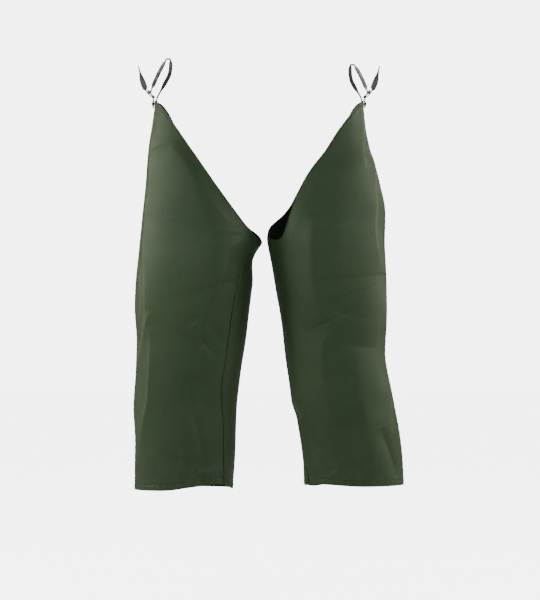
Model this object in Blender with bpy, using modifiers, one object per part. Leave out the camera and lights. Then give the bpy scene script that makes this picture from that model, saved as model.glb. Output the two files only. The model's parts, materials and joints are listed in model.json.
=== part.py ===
"""A pair of belt-hung chainsaw chaps: two separate fabric legs, each hung by its hip point from a short
leather strap that loops over the wearer's belt and closes in a small roller buckle.

Frame: metres, +Z up, the wearer faces -Y and has their left hand at +X. The origin lies midway between the
two strap loops, level with the belt's upper edge. In a leg's own frame, "out" is the distance from the
wearer's middle plane, so world x is side * out.
"""

import math

import bmesh
import bpy
from mathutils import Vector

# Driving dimensions -------------------------------------------------------------------------------

HIP_POINT_Z = -0.0765          # top of each leg, below the belt's upper edge
LEG_LENGTH = 0.820             # hip point to hem, down the side of the leg
CROTCH_DROP = 0.2925           # hip point to the top of the inseam
THIGH_WIDTH = 0.250            # side to side at the top of the inseam, seen from the front
HEM_WIDTH = 0.210              # side to side at the hem, seen from the front
THIGH_DEPTH = 0.200            # front to back at the top of the inseam
KNEE_DEPTH = 0.168             # front to back at the knee
HEM_DEPTH = 0.144              # front to back at the hem
HIP_DEPTH = 0.128              # front to back of the curve that the hip point lies on
HEM_FRONT_RISE = 0.014         # the front hem is cut higher than the back hem
BACK_EDGE_RISE = 0.008         # the back panel's top edge stands above the front one
CROTCH_SET_BACK = 0.028        # middle of the leg behind the hip point, which balances the padded front
HEM_SET_BACK = 0.046

SHELL_THICKNESS = 0.0009       # coated nylon
FACING_THICKNESS = 0.0006      # facings, seam tapes and the hip patch
WOVEN_PLY_THICKNESS = 0.0016   # woven cut-resistant plies
FELT_PLY_THICKNESS = 0.0030    # felted cut-resistant plies
LINING_THICKNESS = 0.0005
PLY_GAP = 0.0004               # between two layers
SEAM_GAP = 0.0005              # between two edges that are sewn side by side

SEAM_TAPE_WIDTH = 0.024
TOP_FACING_DROP = 0.024        # height of the facing under the top edge, measured plumb
HEM_FACING_HEIGHT = 0.022
PAD_HEM_MARGIN = 0.055         # the cut-resistant pad stops this far above the hem

STRAP_WIDTH = 0.020
STRAP_THICKNESS = 0.0024
STRAP_SADDLE_WIDTH = 0.0060    # flat stretch that lies on the belt's upper edge
STRAP_BEND_RADIUS = 0.0022     # middle of the strap, at the two corners of the saddle
STRAP_SHOULDER_DROP = 0.008    # upright stretch under each corner of the saddle
STRAP_SHOULDER_FLARE = 0.0016  # the outer one leans out by this much
STRAP_LEG_RADIUS = 0.030       # bends in the strap's inner leg
STRAP_TAIL = (0.0215, 0.0535)  # tail's end, out and up from the buckle's front bar
STRAP_TAIL_WIDTH = 0.007       # at the pointed end
TAIL_POINT_LENGTH = 0.012
STRAP_END_BELOW_RIVET = 0.008
STRAP_END_ABOVE_HIP = 0.004    # the strap is upright from its end to here

TAB_WIDTH = 0.018
TAB_THICKNESS = 0.0012
TAB_NECK_DROP = 0.0065         # below the heel bar, where the tab's two legs come together
TAB_SLOT_FOOT = 0.0012         # length of the slot below the prong's eye

RIVET_DROP = 0.0075            # below the hip point
RIVET_SHAFT_RADIUS = 0.0020
RIVET_CAP_RADIUS = 0.0045
RIVET_CAP_HEIGHT = 0.0018
RIVET_CAP_RIM = 0.0004         # upright edge of the cap, under its dome
BURR_THICKNESS = 0.0010
BURR_RADIUS = 0.0042

BUCKLE_BAR_RADIUS = 0.0015
BUCKLE_LENGTH = 0.0149         # heel bar to front bar, middle to middle
BUCKLE_LEAN = math.radians(50) # the frame leans out from level by this much
BUCKLE_CORNER_RADIUS = 0.0016
ROLLER_WALL = 0.0008
PRONG_THICKNESS = 0.0026
PRONG_EYE_WALL = 0.0016
PRONG_NEEDLE_HEIGHT = 0.0022
PRONG_REACH = 0.0062           # past the middle of the front bar
PRONG_TIP_LENGTH = 0.0022      # bevelled end of the needle
PRONG_TIP_HEIGHT = 0.0012
PRONG_ROOT = 0.0088            # where the needle's slope starts, from the heel bar
PRONG_EYE_TURN = (math.radians(55), math.radians(345))  # the eye's outline, where the needle leaves it
HEEL_BAR_RISE = 0.0075         # above the hip point


RUNNING_GAP = 0.0003           # between parts that turn in or lie on each other
WINDOW_GAP = 0.00075           # strap to the buckle's side bars
SLOT_GAP = 0.0006              # strap and tab to the prong's two sides
HIP_CURVE = 0.0012             # room for the shell, which curves in towards the strap's two edges
TURNED_STEPS = 24              # facets round a turned piece
WRAP_STEPS = 10                # facets where a strap or tab goes round a bar
CREASE_ANGLE = math.radians(40)  # edges sharper than this are shaded sharp

# Powers of the leg's cross-section: below 1 is boxy, and above 1 the outer edge is a crease.
SECTION_WIDTH_POWER = 0.86
SECTION_DEPTH_POWER = 0.86
HIP_EDGE_POWER = 0.82
HEM_EDGE_POWER = 1.35
EDGE_POWER_START = 0.62        # share of the way down at which the crease begins

# Outlines of the two legs as they hang. Each point is (share of the way down, metres), and the metres are
# how far the line stands outside the straight line between its ends.
LEGS = {
    "right": {
        "side": -1.0,
        "hip_out": 0.2279,     # hip point from the middle plane
        "hem_out": 0.2730,     # outer corner of the hem from the middle plane
        "lift": 0.0,           # how far the hem rides up because the leg stands out
        "outer_bulge": [(0.0, 0.0), (0.10, 0.0068), (0.26, 0.0126), (0.36, 0.0166), (0.51, 0.0200),
                        (0.62, 0.0112), (0.77, 0.0105), (0.88, 0.0036), (1.0, 0.0)],
        "inner_bulge": [(0.0, 0.0), (0.36, -0.0030), (0.40, 0.0095), (0.47, 0.0035), (0.59, 0.0045),
                        (0.71, 0.0080), (0.77, 0.0100), (0.87, 0.0050), (1.0, 0.0)],
        "front_edge": [(0.0, 0.0), (0.13, 0.10), (0.43, 0.40), (0.667, 0.67), (0.90, 0.932),
                       (0.96, 0.99), (1.0, 1.0)],
        "inseam_turn": [(0.36, 30.0), (0.42, 37.0), (0.47, 45.0), (0.59, 49.0), (0.71, 51.0),
                        (0.83, 43.0), (1.0, 38.0)],
        "saddle": (0.1990, 0.0092),
    },
    "left": {
        "side": 1.0,
        "hip_out": 0.2115,
        "hem_out": 0.2982,
        "lift": 0.010,
        "outer_bulge": [(0.0, 0.0), (0.06, 0.0), (0.10, 0.0022), (0.155, 0.0124), (0.21, 0.0184),
                        (0.26, 0.0223), (0.36, 0.0154), (0.52, 0.0060), (0.67, -0.0095),
                        (0.78, -0.0017), (0.88, 0.0040), (1.0, 0.0)],
        "inner_bulge": [(0.0, 0.0), (0.36, 0.0), (0.45, 0.0020), (0.57, 0.0040), (0.70, 0.0010),
                        (0.78, -0.0008), (0.83, 0.0050), (0.93, 0.0050), (1.0, 0.0)],
        "front_edge": [(0.0, 0.0), (0.104, 0.072), (0.28, 0.216), (0.433, 0.36), (0.604, 0.50),
                       (0.724, 0.647), (0.795, 0.79), (0.86, 0.93), (0.90, 0.985), (1.0, 1.0)],
        "inseam_turn": [(0.36, 8.0), (0.60, 6.0), (0.82, 12.0), (1.0, 26.0)],
        "saddle": (0.1880, -0.0028),
    },
}

# The strap's inner leg lies against the hip. These points are measured from the middle of the saddle.
STRAP_INNER_ROUTE = [(-0.0050, -0.020), (-0.0022, -0.034), (0.0052, -0.047)]

COLUMNS = 8                    # equal columns across a panel, between its two seam tapes
ROWS = 9                       # equal rows between the top facing and the pad's lower edge

# Colours, roughness and metallic value ------------------------------------------------------------

FINISHES = {
    "shell": ((0.046, 0.060, 0.034), 0.45, 0.0),
    "facing": ((0.020, 0.027, 0.016), 0.60, 0.0),
    "lining": ((0.030, 0.036, 0.026), 0.80, 0.0),
    "woven_ply": ((0.62, 0.52, 0.20), 0.90, 0.0),
    "felt_ply": ((0.70, 0.64, 0.42), 0.95, 0.0),
    "strap": ((0.028, 0.026, 0.022), 0.50, 0.0),
    "buckle": ((0.45, 0.42, 0.36), 0.30, 1.0),
    "rivet": ((0.20, 0.18, 0.14), 0.35, 1.0),
}


def finish(name):
    """One Principled material for each finish, made the first time that it is asked for."""
    if name in bpy.data.materials:
        return bpy.data.materials[name]
    colour, roughness, metallic = FINISHES[name]
    material = bpy.data.materials.new(name)
    material.use_nodes = True
    shader = material.node_tree.nodes["Principled BSDF"]
    shader.inputs["Base Color"].default_value = (*colour, 1.0)
    shader.inputs["Roughness"].default_value = roughness
    shader.inputs["Metallic"].default_value = metallic
    return material


# Smooth lines -------------------------------------------------------------------------------------


def smooth(points, x):
    """Value at x of a smooth line through (x, value) points, with no overshoot between two of them."""
    if x <= points[0][0]:
        return points[0][1]
    if x >= points[-1][0]:
        return points[-1][1]
    steps = list(zip(points, points[1:]))
    slopes = [(b[1] - a[1]) / (b[0] - a[0]) for a, b in steps]
    bends = [slopes[0]]
    for before, after in zip(slopes, slopes[1:]):
        level = before * after <= 0.0
        bends.append(0.0 if level else 2.0 * before * after / (before + after))
    bends.append(slopes[-1])
    k = max(i for i, point in enumerate(points[:-1]) if point[0] <= x)
    (x0, v0), (x1, v1) = steps[k]
    span = x1 - x0
    s = (x - x0) / span
    return (v0 * (1 + 2 * s) * (1 - s) ** 2 + v1 * s * s * (3 - 2 * s)
            + span * s * (1 - s) * (bends[k] * (1 - s) - bends[k + 1] * s))


def fillet(points, radius, turn_step=math.radians(15)):
    """Open 2D polyline whose inner corners are rounded to the radius, or less where a run is short."""
    line = [points[0]]
    for before, corner, after in zip(points, points[1:], points[2:]):
        into = (corner - before).normalized()
        out = (after - corner).normalized()
        turn = into.angle_signed(out, 0.0)
        room = 0.45 * min((corner - before).length, (after - corner).length)
        back = min(radius * math.tan(abs(turn) / 2), room)
        if back < 1e-7:
            line.append(corner)
            continue
        bend = back / math.tan(abs(turn) / 2)
        start = corner - into * back
        across = Vector((-into.y, into.x)) * (-1.0 if turn > 0 else 1.0)
        centre = start + across * bend
        steps = max(2, math.ceil(abs(turn) / turn_step))
        first = start - centre
        for k in range(steps + 1):
            angle = -turn * k / steps
            line.append(centre + turned(first, angle))
    line.append(points[-1])
    return line


def turned(vector, angle):
    """2D vector turned anticlockwise."""
    c, s = math.cos(angle), math.sin(angle)
    return Vector((c * vector.x - s * vector.y, s * vector.x + c * vector.y))


def tangent_point(point, centre, radius, hand):
    """Where the line from a point touches a circle; hand is +1 or -1 for its two sides."""
    towards = centre - point
    run = math.sqrt(towards.length_squared - radius * radius)
    return point + turned(towards.normalized(), hand * math.asin(radius / towards.length)) * run


# The legs' surface --------------------------------------------------------------------------------


class Leg:
    """Surface of one leg. Angle 0 is the outer side, -90 degrees the front, 90 the back, 180 the inner."""

    def __init__(self, name):
        shape = LEGS[name]
        self.name = name
        self.side = shape["side"]
        self.hip_out = shape["hip_out"]
        self.hem_out = shape["hem_out"]
        self.saddle = Vector(shape["saddle"])
        self.drop = LEG_LENGTH - shape["lift"]
        self.outer_bulge = shape["outer_bulge"]
        self.inner_bulge = shape["inner_bulge"]
        self.front_edge = shape["front_edge"]
        self.inseam_turn = shape["inseam_turn"]
        self.crotch = CROTCH_DROP / self.drop
        self.knee = 0.5 * (1.0 + self.crotch)

    def limits(self, down):
        """Outer and inner edge of the leg, a share of the way down."""
        below = max(0.0, (down - self.crotch) / (1.0 - self.crotch))
        crotch_inner = self.outer(self.crotch) - THIGH_WIDTH
        inner = crotch_inner + (self.hem_out - HEM_WIDTH - crotch_inner) * below
        return self.outer(down), inner + smooth(self.inner_bulge, down)

    def outer(self, down):
        """Outer edge of the leg; the hip point itself is upright and flat."""
        flat = (RIVET_DROP + STRAP_END_BELOW_RIVET) / self.drop
        slope = max(0.0, down - flat) / (1.0 - flat)
        return self.hip_out + (self.hem_out - self.hip_out) * slope + smooth(self.outer_bulge, slope)

    def squareness(self, down, outward):
        """Power of the cross-section's depth, which changes down the outer side only."""
        if not outward:
            return SECTION_DEPTH_POWER
        return smooth([(0.0, HIP_EDGE_POWER), (EDGE_POWER_START, SECTION_DEPTH_POWER),
                       (1.0, HEM_EDGE_POWER)], down)

    def depth(self, down):
        return 0.5 * smooth([(0.0, HIP_DEPTH), (self.crotch, THIGH_DEPTH), (self.knee, KNEE_DEPTH),
                             (1.0, HEM_DEPTH)], down)

    def set_back(self, down):
        """How far behind the hip point the leg's middle lies."""
        return smooth([(0.0, 0.0), (self.crotch, CROTCH_SET_BACK), (1.0, HEM_SET_BACK)], down)

    def share_across(self, angle):
        """How far across the leg an angle lies: 0 at the outer side, 1 at the inner side."""
        c = math.cos(angle)
        return 0.5 * (1.0 - math.copysign(abs(c) ** SECTION_WIDTH_POWER, c))

    def point(self, angle, down):
        """Point of the outer surface, as (out, y, z)."""
        outer, inner = self.limits(down)
        c, s = math.cos(angle), math.sin(angle)
        across = outer - (outer - inner) * self.share_across(angle)
        deep = self.depth(down) * math.copysign(abs(s) ** self.squareness(down, c > 0), s)
        return Vector((across, self.set_back(down) + deep, HIP_POINT_Z - self.drop * down))

    def inset_point(self, angle, down, inset):
        """Point a distance inside the outer surface, square to it."""
        step_angle, step_down = 0.02, 0.004
        round_leg = self.point(angle + step_angle, down) - self.point(angle - step_angle, down)
        above, below = max(down - step_down, 0.0), min(down + step_down, 1.0)
        down_leg = self.point(angle, below) - self.point(angle, above)
        inward = round_leg.cross(down_leg).normalized()
        return self.point(angle, down) + inward * inset

    def top(self, angle):
        """Share of the way down at which the top edge lies."""
        share = self.share_across(angle)
        drop = CROTCH_DROP * smooth(self.front_edge, share)
        if math.sin(angle) > 0:
            drop -= BACK_EDGE_RISE * math.sin(math.pi * share) ** 0.5
        return max(0.0, drop) / self.drop

    def hem(self, angle):
        """Share of the way down at which the hem lies."""
        return 1.0 - HEM_FRONT_RISE * 0.5 * (1.0 - math.sin(angle)) / self.drop

    def inseam(self, down):
        """Angle of the inseam, forward of the inner side."""
        return -math.pi + math.radians(smooth(self.inseam_turn, down))

    def place(self, turn, row, inset):
        """World point for a place on the cloth.

        turn is -1..0 from the inseam round the front to the outseam, 0..1 on round the back to the inseam,
        and 1..2 once more round the front; row is a pair (share, plumb metres), measured from the top edge
        towards the hem.
        """
        turn = turn - 2.0 if turn > 1.0 else turn

        def angle_at(down):
            inseam = self.inseam(down)
            return -turn * inseam if turn < 0 else turn * (inseam + 2.0 * math.pi)

        angle = angle_at(self.crotch)
        top = self.top(angle)
        share, metres = row
        for _ in range(3):
            down = top + share * (self.hem(angle) - top) + metres / self.drop
            angle = angle_at(max(down, self.crotch))
        out, y, z = self.inset_point(angle, down, inset)
        return Vector((self.side * out, y, z))


def seam_margin(leg, front):
    """Share of a panel's width that half a seam tape takes, at the knee."""
    inseam = leg.inseam(leg.knee)
    first, last = (0.0, inseam) if front else (0.0, inseam + 2.0 * math.pi)
    points = [leg.point(first + (last - first) * k / 40, leg.knee) for k in range(41)]
    width = sum((b - a).length for a, b in zip(points, points[1:]))
    return 0.5 * SEAM_TAPE_WIDTH / width, SEAM_GAP / width


# Building pieces ----------------------------------------------------------------------------------


def new_collection(name):
    collection = bpy.data.collections.new(name)
    bpy.context.scene.collection.children.link(collection)
    return collection


def add_mesh(name, bm, collection):
    mesh = bpy.data.meshes.new(name)
    bm.to_mesh(mesh)
    bm.free()
    piece = bpy.data.objects.new(name, mesh)
    collection.objects.link(piece)
    return piece


def bent_slab(name, columns, rows, place, collection, closed=False):
    """A flat slab of columns by rows, bent so that each corner lies at place(column, row, skin).

    Skin is 0 for one face of the slab and 1 for the other. A closed slab runs all the way round, so its two
    ends are one.
    """
    bm = bmesh.new()
    bmesh.ops.create_grid(bm, x_segments=columns, y_segments=rows, size=1.0)
    for vertex in bm.verts:
        vertex.co = ((vertex.co.x + 1) / 2 * columns, (vertex.co.y + 1) / 2 * rows, 0.0)
    bmesh.ops.triangulate(bm, faces=bm.faces[:], quad_method="FIXED")
    second = bmesh.ops.extrude_face_region(bm, geom=bm.faces[:])["geom"]
    for vertex in (item for item in second if isinstance(item, bmesh.types.BMVert)):
        vertex.co.z = 1.0
    if closed:
        end_columns = ({0.0}, {float(columns)})
        ends = [face for face in bm.faces if {vertex.co.x for vertex in face.verts} in end_columns]
        bmesh.ops.delete(bm, geom=ends, context="FACES_ONLY")
    for vertex in bm.verts:
        vertex.co = place(round(vertex.co.x), round(vertex.co.y), round(vertex.co.z))
    if closed:
        bmesh.ops.remove_doubles(bm, verts=bm.verts[:], dist=0.000005)
    bmesh.ops.recalc_face_normals(bm, faces=bm.faces[:])
    return add_mesh(name, bm, collection)


def cloth_piece(leg, name, turns, rows, inset, thickness, collection, edge_inset=None, closed=False):
    """A layer of cloth between lines on the leg; edge_inset lays its border closer to the shell."""
    def place(column, row, skin):
        on_border = column in (0, len(turns) - 1) or row in (0, len(rows) - 1)
        depth = edge_inset if on_border and edge_inset is not None else inset
        return leg.place(turns[column], rows[row], depth + skin * thickness)

    return bent_slab(f"{leg.name}_{name}", len(turns) - 1, len(rows) - 1, place, collection, closed)


def ribbon(name, line, widths, thickness, collection):
    """A flat strip whose middle follows a 2D line in the leg's out-and-up plane, with its width along y."""
    def place(column, row, skin):
        before, after = line[max(column - 1, 0)], line[min(column + 1, len(line) - 1)]
        along = (after - before).normalized()
        middle = line[column] + Vector((-along.y, along.x)) * thickness * (skin - 0.5)
        return Vector((middle.x, (row - 0.5) * widths[column], middle.y))

    return bent_slab(name, len(line) - 1, 1, place, collection)


def turned_piece(name, profile, collection):
    """A closed profile of (radius, height) points turned about Z."""
    bm = bmesh.new()
    corners = [bm.verts.new((radius, 0.0, height)) for radius, height in profile]
    for a, b in zip(corners, corners[1:] + corners[:1]):
        if a.co.x > 0 or b.co.x > 0:
            bm.edges.new((a, b))
    piece = add_mesh(name, bm, collection)
    screw = piece.modifiers.new("turn", "SCREW")
    screw.steps = TURNED_STEPS
    screw.render_steps = TURNED_STEPS
    screw.use_merge_vertices = True
    screw.merge_threshold = 0.00001
    return piece


def flat_outline(name, loops, thickness, collection):
    """A plate cut to 2D loops, the first its edge and the others its holes, with its thickness along y."""
    curve = bpy.data.curves.new(name, "CURVE")
    curve.dimensions = "2D"
    curve.fill_mode = "BOTH"
    curve.extrude = thickness / 2
    for loop in loops:
        spline = curve.splines.new("POLY")
        spline.points.add(len(loop) - 1)
        for point, (x, z) in zip(spline.points, loop):
            point.co = (x, z, 0.0, 1.0)
        spline.use_cyclic_u = True
    outline = bpy.data.objects.new(name + "_outline", curve)
    collection.objects.link(outline)
    depsgraph = bpy.context.evaluated_depsgraph_get()
    mesh = bpy.data.meshes.new_from_object(outline.evaluated_get(depsgraph))
    bpy.data.objects.remove(outline)
    bm = bmesh.new()
    bm.from_mesh(mesh)
    bpy.data.meshes.remove(mesh)
    bmesh.ops.remove_doubles(bm, verts=bm.verts[:], dist=0.000005)
    for vertex in bm.verts:
        vertex.co = (vertex.co.x, -vertex.co.z, vertex.co.y)
    bmesh.ops.recalc_face_normals(bm, faces=bm.faces[:])
    return add_mesh(name, bm, collection)


def cutter_box(name, low, high, cutters):
    bm = bmesh.new()
    bmesh.ops.create_cube(bm, size=1.0)
    for vertex in bm.verts:
        vertex.co = [a + (b - a) * (c + 0.5) for a, b, c in zip(low, high, vertex.co)]
    return mark_cutter(add_mesh(name, bm, cutters))


def cutter_rod(name, radius, length, cutters):
    """A rod along the x axis."""
    bm = bmesh.new()
    bmesh.ops.create_cone(bm, cap_ends=True, segments=TURNED_STEPS, radius1=radius, radius2=radius,
                          depth=length)
    for vertex in bm.verts:
        vertex.co = (vertex.co.z, vertex.co.y, -vertex.co.x)
    return mark_cutter(add_mesh(name, bm, cutters))


def mark_cutter(piece):
    piece.hide_render = True
    piece.display_type = "WIRE"
    return piece


def cut(piece, cutter):
    modifier = piece.modifiers.new(cutter.name, "BOOLEAN")
    modifier.operation = "DIFFERENCE"
    modifier.solver = "EXACT"
    modifier.object = cutter


def finished(piece, material, parent, location=(0, 0, 0), smooth_angle=None):
    """Gives a piece its material and its place, which is measured in its parent's frame."""
    piece.data.materials.clear()
    piece.data.materials.append(finish(material))
    piece.parent = parent
    piece.location = location
    if smooth_angle is not None:
        piece.data.shade_smooth()
        piece.data.set_sharp_from_angle(angle=smooth_angle)


# Cloth of one leg ---------------------------------------------------------------------------------


def make_cloth(leg, hinge, parts):
    """Shell, facings, tapes, pad and lining of one leg, hung on its hip hinge."""
    margin_front, gap_front = seam_margin(leg, True)
    margin_back, gap_back = seam_margin(leg, False)

    def spread(first, last, count):
        return [first + (last - first) * k / count for k in range(count + 1)]

    front_inner = spread(-1.0 + margin_front, -margin_front, COLUMNS)
    back_inner = spread(margin_back, 1.0 - margin_back, COLUMNS)
    front_turns = [-1.0 + gap_front / 2] + front_inner + [-gap_front / 2]
    back_turns = [gap_back / 2] + back_inner + [1.0 - gap_back / 2]

    top, facing_line = (0.0, 0.0), (0.0, TOP_FACING_DROP)
    hem, hem_line, pad_line = (1.0, 0.0), (1.0, -HEM_FACING_HEIGHT), (1.0, -PAD_HEM_MARGIN)

    def between(share):
        return (share, TOP_FACING_DROP * (1.0 - share) - PAD_HEM_MARGIN * share)

    body_rows = [between(k / ROWS) for k in range(ROWS + 1)]
    rows = [top] + body_rows + [hem_line, hem]

    def nudged(row, metres):
        return (row[0], row[1] + metres)

    top_rows = [top, nudged(facing_line, -SEAM_GAP)]
    under_shell = SHELL_THICKNESS + PLY_GAP
    pieces = {}
    pieces["front_panel"] = cloth_piece(leg, "front_panel", front_turns, rows, 0.0, SHELL_THICKNESS, parts)
    pieces["back_panel"] = cloth_piece(leg, "back_panel", back_turns, rows, 0.0, SHELL_THICKNESS, parts)

    # Facings and tapes share one layer under the shell, and meet edge to edge.
    tape_rows = [nudged(body_rows[0], SEAM_GAP)] + body_rows[1:] + [nudged(hem_line, -SEAM_GAP)]
    pieces["inseam_tape"] = cloth_piece(
        leg, "inseam_tape", [1.0 - margin_back + gap_back, 1.0, 1.0 + margin_front - gap_front], tape_rows,
        under_shell, FACING_THICKNESS, parts)
    pieces["outseam_tape"] = cloth_piece(
        leg, "outseam_tape", [-margin_front + gap_front, 0.0, margin_back - gap_back], tape_rows,
        under_shell, FACING_THICKNESS, parts)
    patch_front, patch_back = front_inner[-2], back_inner[1]
    pieces["hip_patch"] = cloth_piece(
        leg, "hip_patch", [patch_front, -margin_front, 0.0, margin_back, patch_back], top_rows,
        under_shell, FACING_THICKNESS, parts)
    facing_turns = back_inner[1:] + [1.0] + [turn + 2.0 for turn in front_inner[:-1]]
    facing_turns[0] += gap_back
    facing_turns[-1] -= gap_front
    pieces["top_facing"] = cloth_piece(
        leg, "top_facing", facing_turns, top_rows, under_shell, FACING_THICKNESS, parts)
    round_hem = [0.0] + back_inner + [1.0] + [turn + 2.0 for turn in front_inner] + [0.0]
    pieces["hem_facing"] = cloth_piece(
        leg, "hem_facing", round_hem, [hem_line, hem], under_shell, FACING_THICKNESS, parts, closed=True)

    # The pad lies in a pocket between the front panel and its lining.
    pad_turns = front_inner[1:-1]
    pad_rows = body_rows[1:]
    woven_inset = under_shell
    felt_inset = woven_inset + WOVEN_PLY_THICKNESS + PLY_GAP
    lining_inset = felt_inset + FELT_PLY_THICKNESS + PLY_GAP
    pieces["pad_woven_plies"] = cloth_piece(
        leg, "pad_woven_plies", pad_turns, pad_rows, woven_inset, WOVEN_PLY_THICKNESS, parts)
    pieces["pad_felt_plies"] = cloth_piece(
        leg, "pad_felt_plies", pad_turns, pad_rows, felt_inset, FELT_PLY_THICKNESS, parts)
    lining_turns = [front_inner[0] + gap_front] + front_inner[1:-1] + [front_inner[-1] - gap_front]
    lining_rows = [nudged(body_rows[0], PLY_GAP)] + body_rows[1:] + [nudged(hem_line, -SEAM_GAP)]
    pieces["front_lining"] = cloth_piece(
        leg, "front_lining", lining_turns, lining_rows, lining_inset, LINING_THICKNESS, parts,
        edge_inset=under_shell)

    materials = {"front_panel": "shell", "back_panel": "shell", "front_lining": "lining",
                 "pad_woven_plies": "woven_ply", "pad_felt_plies": "felt_ply"}
    for name, piece in pieces.items():
        hang_on(piece, hinge)
        finished(piece, materials.get(name, "facing"), parent=hinge, smooth_angle=CREASE_ANGLE)
    return pieces


def hang_on(piece, hinge):
    """Moves a mesh made in the world's frame into its hinge's frame."""
    for vertex in piece.data.vertices:
        vertex.co -= hinge.location


# Strap, tab and buckle of one leg -----------------------------------------------------------------


def wrapped(centre, start, end, hand):
    """Points of the arc round a centre from start to end; hand is +1 for anticlockwise, -1 for clockwise."""
    first, last = start - centre, end - centre
    angle = hand * (math.atan2(last.y, last.x) - math.atan2(first.y, first.x)) % (2 * math.pi)
    return [centre + turned(first, hand * angle * k / WRAP_STEPS) for k in range(WRAP_STEPS + 1)]


def stack(leg):
    """Distances out from the middle plane of what is riveted together at the hip point."""
    shell_in = leg.hip_out - SHELL_THICKNESS
    patch_in = shell_in - PLY_GAP - FACING_THICKNESS
    strap_middle = patch_in - HIP_CURVE - STRAP_THICKNESS / 2
    facing_bulge = leg.outer(TOP_FACING_DROP / leg.drop) - leg.hip_out
    bulge_at_tab = facing_bulge * (RIVET_DROP + STRAP_END_BELOW_RIVET) / TOP_FACING_DROP
    tab_inner = leg.hip_out + bulge_at_tab + RUNNING_GAP + TAB_THICKNESS / 2
    tab_outer = tab_inner + TAB_THICKNESS + RUNNING_GAP
    return {"strap": strap_middle, "tab_inner": tab_inner, "tab_outer": tab_outer,
            "heel": 0.5 * (tab_inner + tab_outer)}


def make_strap(leg, places, parts, cutters, hips):
    """Strap from the rivet up inside the hip, over the belt, down through the buckle and up as a tail."""
    rivet_z = HIP_POINT_Z - RIVET_DROP
    saddle = leg.saddle
    half = STRAP_SADDLE_WIDTH / 2 + STRAP_BEND_RADIUS
    over = saddle.y + STRAP_THICKNESS / 2
    shoulder = over - STRAP_SHOULDER_DROP
    roller_radius = BUCKLE_BAR_RADIUS + RUNNING_GAP + ROLLER_WALL
    wrap_radius = roller_radius + RUNNING_GAP + STRAP_THICKNESS / 2
    heel = Vector((places["heel"], HIP_POINT_Z + HEEL_BAR_RISE))
    frame_way = Vector((math.cos(BUCKLE_LEAN), math.sin(BUCKLE_LEAN)))
    front_bar = heel + frame_way * BUCKLE_LENGTH

    inner = [Vector((places["strap"], rivet_z - STRAP_END_BELOW_RIVET)),
             Vector((places["strap"], HIP_POINT_Z + STRAP_END_ABOVE_HIP))]
    inner += [saddle + Vector(point) for point in reversed(STRAP_INNER_ROUTE)]
    inner[-1] = Vector((saddle.x - half, inner[-1].y))
    rising = fillet(inner + [Vector((saddle.x - half, shoulder))], STRAP_LEG_RADIUS)
    loop = fillet([rising[-1], Vector((saddle.x - half, over)), Vector((saddle.x + half, over)),
                   Vector((saddle.x + half + STRAP_SHOULDER_FLARE, shoulder))],
                  STRAP_BEND_RADIUS, math.radians(22))
    touch_in = tangent_point(loop[-1], front_bar, wrap_radius, -1.0)
    tail_end = front_bar + Vector(STRAP_TAIL)
    touch_out = tangent_point(tail_end, front_bar, wrap_radius, 1.0)
    wrap = wrapped(front_bar, touch_in, touch_out, 1.0)
    falling = [loop[-1].lerp(touch_in, k / 3) for k in (1, 2)]
    tail = tail_end - touch_out
    point_start = 1.0 - TAIL_POINT_LENGTH / tail.length
    tail_line = [touch_out + tail * share for share in (0.25, 0.5, point_start, 1.0)]
    line = rising + loop[1:] + falling + wrap + tail_line
    widths = [STRAP_WIDTH] * (len(line) - 1) + [STRAP_TAIL_WIDTH]
    strap = ribbon(f"{leg.name}_belt_strap", line, widths, STRAP_THICKNESS, parts)

    # The slot runs along the whole needle, and starts just under it.
    slot_half = PRONG_THICKNESS / 2 + SLOT_GAP
    slot = cutter_box(f"{leg.name}_strap_slot", (BUCKLE_BAR_RADIUS, -slot_half, RUNNING_GAP),
                      (BUCKLE_LENGTH + PRONG_REACH + SLOT_GAP, slot_half, BUCKLE_LENGTH), cutters)
    slot.parent = hips["buckle"]
    cut(strap, slot)
    cut(strap, hips["rivet_hole"])
    finished(strap, "strap", parent=hips["hip"], smooth_angle=CREASE_ANGLE)


def make_tab(leg, places, parts, cutters, hips):
    """Folded tab: up from the rivet, round the heel bar and down again, slotted for the prong's eye."""
    heel = Vector((places["heel"], HIP_POINT_Z + HEEL_BAR_RISE))
    low = HIP_POINT_Z - RIVET_DROP - STRAP_END_BELOW_RIVET
    radius = BUCKLE_BAR_RADIUS + RUNNING_GAP + TAB_THICKNESS / 2
    inner_foot = Vector((places["tab_inner"], heel.y - TAB_NECK_DROP))
    outer_foot = Vector((places["tab_outer"], heel.y - TAB_NECK_DROP))
    touch_in = tangent_point(inner_foot, heel, radius, 1.0)
    touch_out = tangent_point(outer_foot, heel, radius, -1.0)
    line = [Vector((places["tab_inner"], low)), inner_foot] + wrapped(heel, touch_in, touch_out, -1.0)
    line += [outer_foot, Vector((places["tab_outer"], low))]
    tab = ribbon(f"{leg.name}_buckle_tab", line, [TAB_WIDTH] * len(line), TAB_THICKNESS, parts)
    eye_half = PRONG_THICKNESS / 2 + SLOT_GAP
    eye_room = BUCKLE_BAR_RADIUS + RUNNING_GAP + PRONG_EYE_WALL + RUNNING_GAP
    past_tab = 2 * eye_room
    slot = cutter_box(f"{leg.name}_tab_slot", (-past_tab, -eye_half, -eye_room - TAB_SLOT_FOOT),
                      (past_tab, eye_half, past_tab), cutters)
    slot.location = (heel.x, 0.0, heel.y)
    slot.parent = hips["hip"]
    cut(tab, slot)
    cut(tab, hips["rivet_hole"])
    finished(tab, "shell", parent=hips["hip"], smooth_angle=CREASE_ANGLE)


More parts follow.
